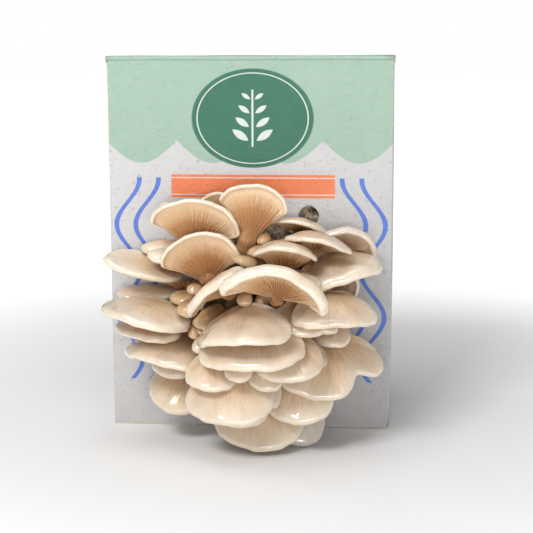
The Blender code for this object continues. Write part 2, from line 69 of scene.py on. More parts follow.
@dataclass
class Mushroom:
    """One cap with its stem. Lengths are in millimetres and angles in degrees."""

    name: str
    tip: tuple
    toward: tuple
    face: tuple
    wide: float
    reach: float
    back: float = 7.0
    belly: float = None
    drop: float = 5.0
    flank: float = 7.0
    pinch: float = 0.0
    margin: float = 3.6
    curl_radius: float = 3.8
    curl: float = 60.0
    neck: float = 5.5
    depth: float = 13.0
    funnel: float = 2.2
    lean: float = 45.0
    stem: float = 4.2
    lobes: int = 3
    wave: float = 0.02
    phase: float = 0.0
    notch: tuple = (0, 0, 1)
    small: bool = False
    colour: str = "cream"


CLUSTER = [
    # Fans that stand up and show their gills
    Mushroom("upper_left_fan", (-29, 32, 162.5), (0.14, 0.2, 0.97), (0.05, -0.98, 0.19), 62, 32, back=1.5,
        belly=12, pinch=0.8, curl=85, depth=7, funnel=1.5, stem=3.7),
    Mushroom("second_left_fan", (-30, 39.5, 142), (-0.17, 0.37, 1.26), (0, -0.96, 0.29), 55.5, 34, back=3.5,
        belly=15, drop=3.5, flank=7.5, pinch=0.8, curl=80, neck=4.6, depth=7, funnel=1.4, lean=28,
        stem=4.4),
    Mushroom("top_middle_fan", (8, 27.5, 171.5), (0.14, 0.15, 1.08), (0.18, -1.23, 0.14), 47, 31, back=0,
        belly=16, drop=3, flank=3.5, pinch=0.7, curl=70, neck=7, depth=11, funnel=1.5, lean=38, stem=6),
    Mushroom("small_back_fan", (-21.5, 14.5, 164), (-0.1, 0.1, 0.98), (0, -0.99, 0.11), 30, 20, back=5.5,
        flank=6.5, curl=30, neck=4.5, depth=7, lean=30, small=True),
    Mushroom("hidden_left_fan", (-57.5, 14, 157), (-0.5, 0.31, 0.59), (0.2, -0.79, 0.58), 20, 19.5, back=6,
        curl=50, depth=8, small=True),
    Mushroom("upper_right_fan", (34.5, 32.5, 147.5), (-0.02, 1.04, 0.28), (0.2, -0.28, 1.03), 38, 22,
        back=3.5, belly=7, drop=4.5, flank=6, pinch=0.6, margin=2.4, curl_radius=3.2, curl=40, neck=4.2,
        depth=9, funnel=1.1, lean=36, stem=4.7),
    Mushroom("right_band_fan", (51, 61, 139.5), (0.12, 1.05, 0.16), (0.24, -0.22, 1.15), 46, 29, back=5,
        belly=9, flank=7.5, pinch=0.6, margin=2.6, curl_radius=3.4, curl=45, neck=5.3, depth=11, funnel=1.1,
        lean=35, stem=3.9),
    Mushroom("centre_right_fan", (29.5, 69, 136), (0.07, 0.75, 0.16), (0.08, -0.17, 1), 44, 27, back=4.5,
        belly=8, drop=6, flank=10, pinch=0.6, margin=2.6, curl=50, neck=5.3, depth=19, funnel=1.1, lean=28),
    Mushroom("far_right_fan", (72, 23.5, 143.5), (0.39, 0.62, 0.71), (0.04, -0.74, 0.68), 45, 29.5,
        back=-4.5, belly=12, drop=4, flank=8, pinch=0.6, curl_radius=5, curl=85, depth=7, funnel=1.5,
        lean=58, stem=2.8),
    Mushroom("centre_big_fan", (28, 102.5, 131.5), (0.09, 0.62, 0.66), (0.16, -0.73, 0.67), 74.5, 33,
        back=1.5, belly=13, drop=8, flank=19, pinch=0.9, margin=4, curl_radius=6, curl=95, neck=4, depth=9,
        funnel=1.2, lean=32, stem=4.4),
    Mushroom("left_blade_fan", (-21.5, 89.5, 111.5), (-0.28, 0.95, 0.02), (-0.61, -0.2, 0.76), 50.5, 26,
        back=6.5, belly=8, drop=4, flank=5.5, curl_radius=4.5, curl=80, depth=11, stem=3.6),
    Mushroom("left_back_blade_fan", (-21, 58, 108.5), (-0.35, 1.23, -0.01), (-0.62, -0.12, 0.77), 43.5,
        19.5, back=2, belly=8, drop=4, margin=3.2, curl_radius=4.5, curl=80, depth=6.5, lean=40, stem=3.7),
    Mushroom("grey_back_fan", (70.5, 28, 94.5), (0.4, 0.18, -0.62), (0.35, -0.94, -0.03), 25.5, 22, back=3,
        curl=40, depth=7, lean=0, stem=3.9, small=True),
    # Caps on the right that show their tops
    Mushroom("right_large_cap", (70, 56, 117.5), (0.42, 0.95, -0.01), (-0.16, 0.27, 0.97), 60, 41, back=5.5,
        belly=19, drop=6, flank=8, margin=4, curl_radius=5, curl=85, depth=7, lean=42, stem=3.9),
    Mushroom("right_sliver_cap", (40, 77.5, 113), (0.4, 1.05, 0.08), (-0.19, -0.07, 0.99), 35.5, 32.5,
        back=4, belly=12, drop=6.5, flank=5, curl=70, depth=9),
    Mushroom("right_lower_cap", (66.5, 78, 90.5), (0.44, 1.08, -0.3), (0.1, 0.27, 0.96), 59, 35, back=2,
        belly=16, drop=5.5, flank=8.5, curl=75, depth=12, lean=49),
    Mushroom("right_thin_cap", (78.5, 36.5, 85.5), (0.59, 0.75, -0.32), (0.17, 0.27, 0.95), 34, 30, back=6,
        belly=12, drop=5.5, flank=8.5, curl=70, neck=4.5, depth=9, lean=30, small=True),
    Mushroom("right_inner_cap", (42, 70.5, 81.5), (0.2, 0.62, -0.26), (0.17, 0.38, 0.91), 36.5, 30, back=1,
        belly=12, drop=5.5, flank=5.5, curl=70),
    Mushroom("right_small_upper_cap", (55.5, 54.5, 79.5), (0.31, 0.9, -0.26), (0.01, 0.27, 0.96), 20, 18,
        back=1.5, flank=4.5, neck=4.1, depth=7, small=True),
    Mushroom("right_small_lower_cap", (57, 53, 71), (0.03, 0.94, -0.32), (0.04, 0.31, 0.95), 27.5, 24,
        back=5.5, flank=6, depth=7, small=True),
    Mushroom("right_two_lobed_cap", (62.5, 63, 38), (0.22, 0.67, -0.59), (0.11, 0.63, 0.77), 72, 43.5,
        back=4, belly=18, drop=8, flank=7.5, margin=3.2, notch=(36, 0.3, 20)),
    # Caps in the middle
    Mushroom("centre_large_cap", (-2, 103, 84.5), (-0.2, 1.08, -0.23), (-0.16, 0.2, 0.97), 64.5, 40,
        back=5.5, belly=14, drop=5.5, flank=14, curl=75),
    Mushroom("centre_lower_cap", (9, 99, 67), (0.02, 1.03, -0.29), (-0.07, 0.27, 0.96), 69.5, 42, back=6,
        belly=16, drop=6.5, flank=7.5, margin=3.2, curl=80, depth=9),
    Mushroom("centre_right_lower_cap", (39.5, 85.5, 57), (0.41, 0.84, -0.42), (0, 0.45, 0.89), 47, 36,
        back=6, belly=14, drop=6.5, flank=6.5, margin=3.2, curl=75, depth=7, lean=40),
    Mushroom("centre_sliver_cap", (47, 67, 59.5), (0.54, 0.83, -0.41), (0.09, 0.39, 0.92), 35, 27, back=4.5,
        belly=12, depth=7, small=True),
    # Caps on the left
    Mushroom("far_left_cap", (-93, 29, 123.5), (-0.95, 0.3, 0.37), (0.43, 0.31, 0.85), 29.5, 47.5, back=5.5,
        belly=24, drop=4, flank=0, depth=10, lean=59),
    Mushroom("far_left_back_cap", (-72.5, 13, 127.5), (-0.98, 0.2, 0.08), (0.12, 0.11, 0.99), 20, 26,
        back=6, flank=6.5, neck=4.5, depth=7, lean=30, small=True),
    Mushroom("far_left_second_cap", (-65.5, 29, 125.5), (-0.88, 0.25, 0.11), (0.13, 0.1, 0.99), 20, 26,
        back=6, flank=8, neck=4.5, depth=7, lean=30, small=True),
    Mushroom("left_narrow_cap", (-87, 18.5, 98.5), (-1, 0.24, 0.09), (0.15, 0.2, 0.97), 27, 36, back=6,
        belly=20, drop=4, flank=6, depth=10),
    Mushroom("left_large_cap", (-69, 71.5, 90), (-0.28, 0.98, -0.01), (0.2, 0.06, 1.16), 63, 39.5, back=7.5,
        belly=15, drop=4, flank=6, curl=75, neck=5.8, lean=43),
    Mushroom("left_under_cap", (-73, 51, 76), (-0.46, 0.84, -0.01), (0.04, 0.11, 0.99), 50.5, 31.5, back=3,
        belly=12, drop=4.5, flank=4.5, curl=70, depth=7, lean=51),
    Mushroom("left_lower_cap", (-53.5, 65.5, 62), (-0.26, 1.03, -0.14), (0.08, 0.17, 0.92), 65.5, 40,
        back=5, belly=15, drop=5.5, flank=11.5, margin=3.8, curl=75, neck=5.3, depth=7, stem=3.7),
    Mushroom("left_lower_under_cap", (-48.5, 49.5, 47.5), (-0.12, 0.85, -0.46), (0.01, 0.47, 0.88), 33, 26,
        back=4, flank=6, neck=4.2, depth=11, lean=42, phase=0.5, small=True),
    Mushroom("left_tucked_cap", (-30, 61.5, 67.5), (-0.34, 0.74, -0.25), (0.01, 0.37, 0.93), 14, 16, back=2,
        flank=5, lean=49, small=True),
    Mushroom("left_brown_cap", (-24.5, 64, 83.5), (-0.32, 0.89, -0.24), (0.09, 0.29, 0.95), 26, 22, back=2,
        drop=5.5, flank=8.5, depth=9, lean=35, stem=3.9, small=True, colour="brown"),
    # Lowest caps
    Mushroom("bottom_tongue_left_cap", (-19, 85, 49), (-0.09, 0.9, -0.51), (0, 0.5, 0.87), 36.5, 26,
        back=5.5, flank=7.5, depth=7, lean=41, stem=3.3, small=True),
    Mushroom("bottom_tongue_middle_cap", (0, 88.5, 55.5), (-0.01, 0.85, -0.52), (0, 0.52, 0.85), 21.5, 20.5,
        back=5, flank=6, lean=51, small=True),
    Mushroom("bottom_tongue_right_cap", (18, 82.5, 48.5), (0.1, 0.79, -0.5), (0.06, 0.53, 0.85), 25.5, 24,
        back=4.5, flank=6, depth=8, small=True),
    Mushroom("bottom_left_cap", (-53.5, 43.5, 22.5), (-0.39, 0.6, -0.65), (-0.12, 0.69, 0.71), 46, 41,
        back=5, belly=20, drop=6.5, flank=7.5, curl=70, stem=4.7),
    Mushroom("bottom_centre_cap", (-8.5, 90.5, 28.5), (-0.09, 0.76, -0.58), (-0.11, 0.6, 0.79), 61, 41.5,
        back=5.5, belly=18, drop=7, flank=10, curl=75, depth=11, lean=53),
    Mushroom("bottom_centre_under_cap", (6.5, 74, 22.5), (0.35, 0.71, -0.69), (0.02, 0.71, 0.72), 39.5,
        33.5, back=6.5, depth=12.5, small=True),
    Mushroom("bottom_sliver_cap", (20, 70, 33.5), (0.14, 0.71, -0.81), (0, 0.75, 0.66), 18, 26, back=3,
        flank=9, lean=49, small=True),
    Mushroom("bottom_right_cap", (38.5, 70, 23.5), (0.08, 0.72, -0.64), (-0.09, 0.67, 0.74), 47.5, 37.5,
        belly=16, drop=6.5, curl=70, depth=12),
    Mushroom("lowest_cap", (10.5, 67, 4.5), (0, 0.62, -0.73), (-0.03, 0.77, 0.64), 63, 48, back=5.5,
        belly=22, drop=6, flank=9, depth=10),
    Mushroom("lowest_grey_cap", (40.5, 48.5, 2), (0.25, 0.43, -0.85), (0.1, 0.88, 0.47), 37.5, 39.5,
        belly=18, flank=6, depth=10, small=True),
    # Small buttons between the stems
    Mushroom("left_round_button", (-33, 50.5, 102), (-0.15, 0.9, -0.25), (0.01, 0.27, 0.96), 12, 7,
        back=7.5, drop=4, flank=4.5, neck=4.7, depth=8, lean=40, small=True, colour="brown"),
    Mushroom("left_oval_button", (-42.5, 42.5, 94.5), (-0.28, 0.98, -0.3), (0.01, 0.3, 0.95), 21, 9, back=8,
        drop=3, flank=3, depth=9, stem=3, small=True, colour="brown"),
    Mushroom("left_pale_button", (-39.5, 56.5, 89), (-0.48, 0.8, -0.37), (-0.03, 0.44, 0.9), 18, 10.5,
        back=4.5, flank=6, lean=41, small=True, colour="brown"),
    Mushroom("middle_button", (3, 69, 97), (0.07, 1.09, -0.44), (0.01, 0.37, 0.93), 13, 8, back=5, drop=6,
        flank=5.5, depth=9, lean=40, small=True, colour="brown"),
    Mushroom("middle_small_button", (12.5, 60.5, 95), (0.2, 0.89, -0.32), (0.01, 0.33, 0.94), 9, 6,
        back=3.5, flank=6, depth=7, lean=35, small=True, colour="brown"),
    Mushroom("left_low_button", (-33, 55, 73.5), (-0.28, 0.9, -0.32), (-0.03, 0.32, 0.95), 10, 8, back=1,
        flank=4.5, depth=8, lean=30, stem=3.5, small=True, colour="brown"),
    Mushroom("left_low_small_button", (-26, 59, 76.5), (0.07, 0.89, -0.34), (0, 0.35, 0.94), 8, 7, depth=7,
        small=True, colour="brown"),
    Mushroom("upper_tucked_cap", (6, 50, 129), (-0.29, 0.81, 0.07), (0.11, -0.04, 0.99), 16, 12, back=3,
        drop=4.5, flank=5.5, neck=4, depth=7, lean=25, small=True, colour="brown"),
    Mushroom("upper_tucked_small_cap", (11.5, 42, 134), (-0.08, 0.57, 0.03), (0.04, -0.04, 1), 12, 9,
        back=2.5, drop=5.5, flank=6, depth=6, lean=30, small=True, colour="brown"),
    Mushroom("upper_tucked_fan", (-4, 56, 127), (-0.6, 0.6, 0.35), (0.35, -0.2, 0.9), 17, 12, back=4,
        drop=4, flank=4.5, depth=8, lean=30, small=True, colour="brown"),
]

# Caps whose gills face the viewer get them at their real spacing
GILLS_IN_SIGHT = (
    "upper_left_fan", "second_left_fan", "top_middle_fan", "small_back_fan", "upper_right_fan",
    "right_band_fan", "centre_right_fan", "far_right_fan", "centre_big_fan", "left_blade_fan",
    "left_back_blade_fan", "grey_back_fan",
)
GREY = {"far_right_fan": 0.4, "grey_back_fan": 0.55, "lowest_grey_cap": 0.75, "bottom_sliver_cap": 0.35}
PALE = {"centre_large_cap": 0.8, "right_large_cap": 0.5, "left_large_cap": 0.6, "far_left_cap": 0.5}
USUAL_PALE = 0.3
SAMPLES_PER_GILL = 4
# How far each stem's foot lies below the base's skin
FOOT_DEPTH = 2.5
FULL_TURN = 2 * np.pi


def unit(vector):
    vector = np.asarray(vector, float)
    return vector / np.linalg.norm(vector, axis=-1, keepdims=True)


def smooth(x):
    x = np.clip(x, 0, 1)
    return x * x * (3 - 2 * x)


def stacked(*sides):
    """Arrays or numbers side by side, such as the x, y and z of places."""
    return np.stack(np.broadcast_arrays(*sides), axis=-1)


def ripples(places, size, seed, waves=7):
    """Soft uneven heights from -1 to 1: the mean of sine waves that run in seeded directions."""
    draw = np.random.default_rng(seed)
    ways = unit(draw.normal(size=(waves, places.shape[-1])))
    pace = FULL_TURN / (size * draw.uniform(0.6, 1.6, waves))
    phases = draw.uniform(0, FULL_TURN, waves)
    return np.sin((places @ ways.T) * pace + phases).mean(axis=-1) * 1.8


def waves_round(turn, seed, waves):
    """A sum of sine waves round a cap, each (how many, its share of the seed, how tall)."""
    return sum(np.sin(turn * count + seed * share) * tall for count, share, tall in waves)


def to_world(place):
    """(x, out, z) in millimetres to the frame's metres."""
    x, out, z = np.moveaxis(np.asarray(place, float), -1, 0)
    return stacked(x, -(FRONT + out), z) * MM


# Meshes


def mesh_object(name, points, groups, *materials):
    """A mesh from points in metres and a list of face arrays, each (faces, corners) in size."""
    mesh = bpy.data.meshes.new(name)
    groups = [np.asarray(g, np.int32) for g in groups]
    loops = np.concatenate([g.ravel() for g in groups])
    sizes = np.concatenate([np.full(len(g), g.shape[1], np.int32) for g in groups])
    starts = np.concatenate([[0], np.cumsum(sizes)[:-1]]).astype(np.int32)
    mesh.vertices.add(len(points))
    mesh.vertices.foreach_set("co", np.asarray(points, np.float32).ravel())
    mesh.loops.add(len(loops))
    mesh.loops.foreach_set("vertex_index", loops)
    mesh.polygons.add(len(sizes))
    mesh.polygons.foreach_set("loop_start", starts)
    mesh.polygons.foreach_set("use_smooth", np.full(len(sizes), True))
    mesh.update(calc_edges=True)
    mesh.validate()
    made = bpy.data.objects.new(name, mesh)
    bpy.context.scene.collection.objects.link(made)
    for material in materials:
        mesh.materials.append(material)
    return made


def point_values(made, name, values):
    """A value or a vector at each point, for the materials."""
    values = np.asarray(values, np.float32)
    kind = "FLOAT" if values.ndim == 1 else "FLOAT_VECTOR"
    layer = made.data.attributes.new(name, kind, "POINT")
    layer.data.foreach_set("value" if kind == "FLOAT" else "vector", values.ravel())


def grid_faces(rows, columns, wrap=False, start=0):
    """Quads of a grid of points; with wrap, the last column joins the first."""
    i, j = np.meshgrid(np.arange(rows - 1), np.arange(columns if wrap else columns - 1), indexing="ij")
    k = (j + 1) % columns
    a, b = start + i * columns, start + (i + 1) * columns
    return stacked(a + j, b + j, b + k, a + k).reshape(-1, 4)


# Mushrooms


def axes_of(m):
    forward = unit(m.toward)
    up = unit(np.asarray(m.face, float) - np.dot(m.face, forward) * forward)
    return forward, np.cross(forward, up), up


def place_of(m):
    axes = axes_of(m)
    return np.asarray(m.tip, float) - m.reach * axes[0] + m.drop * axes[2], axes


def rim_outline(m, turn):
    """A half ellipse ahead of the widest line and another behind it that a pinch draws in, with soft
    lobes and fine waves."""
    ahead = (m.reach - m.back) / 2 if m.belly is None else m.belly
    length = np.where(np.cos(turn) >= 0, m.reach - ahead, m.back + ahead)
    forward = ahead + length * np.cos(turn)
    side = m.wide / 2 * np.sin(turn) * (1 - m.pinch * np.clip(-np.cos(turn), 0, 1))
    distance = np.hypot(forward, side)
    place, bite, width = m.notch
    degrees = np.degrees((turn + np.pi / 2) % FULL_TURN - np.pi / 2)
    notch = bite * np.exp(-(((degrees - place) / width) ** 2))
    seed = len(m.name) * 7 + int(m.wide)
    fine = waves_round(turn, seed, ((7, 1, 0.006), (13, 2, 0.004), (21, 3, 0.002)))
    rim = distance * (1 + m.wave * np.sin(m.lobes * turn + m.phase) - notch + fine)
    return forward / distance, side / distance, rim


def crown_height(m, forward, side):
    """A sum of two parabolas."""
    u = forward / m.reach
    w = side / (m.wide / 2)
    return -m.drop * u * u - m.flank * w * w


class Profile:
    """What each spoke of a cap needs: its direction, how its margin rolls, its thickness and its slope."""

    def __init__(self, m, turn):
        self.m = m
        self.cos, self.sin, self.rim = rim_outline(m, turn)
        from_behind = np.clip((1 + np.cos(turn)) / CURL_GROWS_OVER, 0, 1)
        self.roll = np.radians(m.curl) * (CURL_BEHIND + (1 - CURL_BEHIND) * from_behind)
        self.radius = np.minimum(m.curl_radius, MOST_CURL * self.rim)
        self.thick = np.minimum(m.margin, MOST_MARGIN * self.radius)
        self.start = self.rim - self.radius * np.sin(np.minimum(self.roll, np.pi / 2))
        self.neck = np.minimum(m.neck, MOST_NECK * self.start)
        slope = np.arctan((self.crown(self.start + 0.01) - self.crown(self.start)) / 0.01)
        self.along = np.array([np.cos(slope), np.sin(slope)])
        self.away = np.array([-np.sin(slope), np.cos(slope)])

    def crown(self, r):
        return crown_height(self.m, r * self.cos, r * self.sin)

    def rolled(self, share):
        """A share of the way round the roll, an arc that starts along the crown: distance, height, normal."""
        angle = share * self.roll
        normal = np.sin(angle) * self.along + np.cos(angle) * self.away
        swing = np.sin(angle) * self.along - (1 - np.cos(angle)) * self.away
        return self.start + self.radius * swing[0], self.crown(self.start) + self.radius * swing[1], normal


def cap_top(m, turn, crown, curl, edge, inside):
    """Rings over the crown, round the rolled margin, round its edge and back up inside the roll.

    The crown is a sum of two parabolas. The roll is an arc that starts along it, and the edge a half
    circle as thick as the margin. Gives (rings, spokes, 3) in the cap's own axes, the values of reach
    and under at each point, and how far waves round the rim lift each spoke.
    """
    shape = Profile(m, turn)
    seed = len(m.name) * 13 + int(m.reach * 2)
    lift = 0.0048 * m.wide * waves_round(turn, seed, ((5, 1, 1), (8, 1.7, 0.7), (13, 0.3, 0.5)))
    rings, reach, under = [], [], []

    def ring(r, h, share, below):
        rings.append(stacked(r * shape.cos, r * shape.sin, h))
        reach.append(np.full(len(turn), share))
        under.append(np.full(len(turn), below))

    for t in np.arange(1, crown + 1) / crown:
        r = t * shape.start
        flat = stacked(r * shape.cos, r * shape.sin)
        uneven = 0.5 * ripples(flat, 17, seed) * smooth(t * 2) + 0.14 * ripples(flat, 5, seed + 1)
        ring(r, shape.crown(r) + uneven * (1 - t) ** 0.3 + lift * t**3, 0.86 * t, 0)
    for t in np.arange(1, curl + 1) / curl:
        r, h, normal = shape.rolled(t)
        ring(r, h + lift, 0.86 + 0.1 * t, 0)
    tangent = np.array([normal[1], -normal[0]])
    for t in np.arange(1, edge) / edge:
        swing = np.cos(t * np.pi) * normal + np.sin(t * np.pi) * tangent - normal
        edge_r, edge_h = r + shape.thick / 2 * swing[0], h + shape.thick / 2 * swing[1]
        ring(edge_r, edge_h + lift, 0.96 + 0.04 * np.sin(t * np.pi / 2), smooth(t * 1.2 - 0.2))
    for t in 1 - np.arange(0, inside) / inside:
        r, h, normal = shape.rolled(t)
        ring(r - shape.thick * normal[0], h - shape.thick * normal[1] + lift, 1.0, 1)
    return np.array(rings), np.array(reach), np.array(under), lift


def gill_base(m, turn, t):
    """The underside from the roll (t = 0) to the neck (t = 1): a straight line between them that falls
    by a power of t and leans back to the stem as it falls."""
    shape = Profile(m, turn)
    thick, neck = shape.thick, shape.neck
    r_end, h_end, normal = shape.rolled(1)
    behind = MERGE_BEHIND * np.clip(-np.cos(turn) / MERGE_OVER, 0, 1)
    under_r = shape.start - thick * shape.away[0]
    under_h = shape.crown(shape.start) - thick * shape.away[1]
    under_r = under_r + behind * (r_end - thick * normal[0] - under_r)
    under_h = under_h + behind * (h_end - thick * normal[1] - under_h)
    r = under_r + (neck - under_r) * t
    fall = (m.depth - thick) * t**m.funnel
    h = under_h + (shape.crown(neck) - thick - under_h) * t - fall
    lean = fall * np.tan(np.radians(m.lean))
    return stacked(r * shape.cos - lean, r * shape.sin, h)


def grid_normals(places):
    """Unit normals of a grid that closes round its columns, from its neighbours' differences."""
    down = np.gradient(places, axis=0)
    across = np.roll(places, -1, axis=1) - np.roll(places, 1, axis=1)
    normal = np.cross(across, down)
    return normal / np.maximum(np.linalg.norm(normal, axis=-1, keepdims=True), 1e-9)


def roots():
    """Where each stem meets the base, pushed apart until none share a place, as in the solids."""
    middle, radii = np.asarray(BASE_MIDDLE), np.asarray(BASE_RADII)
    directions = []
    for m in CLUSTER:
        origin, (forward, _, up) = place_of(m)
        neck = origin - m.depth * (up + np.tan(np.radians(m.lean)) * forward)
        directions.append(unit((neck - middle) / radii))
    directions = np.array(directions)
    size = np.array([m.stem for m in CLUSTER])
    apart = (size[:, None] + size[None, :] + 1.0) / radii.mean()
    for _ in range(200):
        gap = directions[:, None] - directions[None, :]
        distance = np.linalg.norm(gap, axis=-1) + np.eye(len(CLUSTER)) * 9
        push = np.clip(apart - distance, 0, None) / distance
        directions = directions + 0.25 * (gap * push[..., None]).sum(axis=1)
        directions[:, 1] = np.clip(directions[:, 1], 0.12, None)
        directions /= np.linalg.norm(directions, axis=1, keepdims=True)
    normals = unit(directions / radii)
    return zip(middle + radii * directions - FOOT_DEPTH * normals, normals)


def turned(start, end, vectors):
    """Vectors turned by the smallest turn that carries one direction onto another."""
    axis = np.cross(start, end)
    cosine = np.dot(start, end)
    cross = np.cross(np.broadcast_to(axis, vectors.shape), vectors)
    return vectors * cosine + cross + np.outer(vectors @ axis, axis) / (1 + max(cosine, -0.98))


def stem_rings(m, axes, neck_ring, root, root_normal, shares):
    """Rings down the stem: a cubic curve from the neck to the base, round, and flared at its foot."""
    forward, _, up = axes
    centre = neck_ring.mean(axis=0)
    heading = unit(-up - np.tan(np.radians(m.lean)) * forward)
    span = np.linalg.norm(root - centre)
    bend = 0.12 if m.name in GILLS_IN_SIGHT else 0.35
    handles = [centre, centre + heading * span * bend, root + root_normal * span * 0.35, root]
    spokes = neck_ring - centre
    own = np.linalg.norm(spokes, axis=1, keepdims=True)
    turn = np.arange(len(spokes)) / len(spokes) * FULL_TURN
    seed = len(m.name)
    rings = []
    for t in shares:
        weights = [(1 - t) ** 3, 3 * t * (1 - t) ** 2, 3 * t * t * (1 - t), t**3]
        place = sum(w * p for w, p in zip(weights, handles))
        slopes = [(1 - t) ** 2, 2 * t * (1 - t), t * t]
        tangent = unit(sum(w * (q - p) for w, p, q in zip(slopes, handles, handles[1:])))
        spun = turned(-up, tangent, spokes)
        lengths = np.linalg.norm(spun, axis=1, keepdims=True)
        wanted = m.stem + (m.neck - m.stem) * (1 - t) ** 1.8 + 0.35 * m.stem * smooth((t - 0.6) / 0.4)
        wanted = wanted * (1 + 0.03 * np.sin(turn * 3 + seed + 4 * t) + 0.02 * np.sin(turn * 5 + seed))
        keep = smooth(t * 3.5)
        rings.append(place + spun / lengths * (own * (1 - keep) + wanted[:, None] * keep))
    return np.array(rings)


def gill_heights(m, gills, shares):
    """How far each sample of each gill stands out, by ring: every fourth gill runs the whole way, the
    second ones start part way out and the odd ones near the rim."""
    draw = np.random.default_rng(len(m.name) * 31 + int(m.wide * 3))
    count = np.arange(gills)
    starts = np.where(count % 4 == 0, -0.3, np.where(count % 2 == 0, 0.3, 0.55))
    starts = starts + draw.uniform(-0.1, 0.12, gills)
    out = 1 - shares[:, None]
    there = smooth((out - starts[None, :]) / 0.14) * smooth((1.02 - out) / 0.2)
    crest = there * (0.8 + 0.4 * draw.random(gills))
    ridge_shape = np.array([1.0, 0.32, 0.0, 0.32])
    return (crest[:, :, None] * ridge_shape).reshape(len(shares), -1)


def even_turns(m, spacing):
    """Turns that cut the rim into even lengths, in whole fours, and the rim's girth."""
    rough = np.linspace(0, FULL_TURN, 90, endpoint=False)
    cos, sin, rim = rim_outline(m, rough)
    places = stacked(cos * rim, sin * rim)
    steps = np.linalg.norm(np.roll(places, -1, axis=0) - places, axis=1)
    lengths = np.concatenate([[0], np.cumsum(steps)])
    count = int(np.clip(round(lengths[-1] / spacing / 4) * 4, 32, 128))
    turn = np.interp(np.arange(count) / count * lengths[-1], lengths, np.append(rough, FULL_TURN))
    return turn, lengths[-1]


def finer(values, last):
    """Values at each gill, drawn out to its samples; last closes the round."""
    count = len(values)
    fine = np.arange(count * SAMPLES_PER_GILL) / SAMPLES_PER_GILL
    return np.interp(fine, np.arange(count + 1), np.append(values, last))


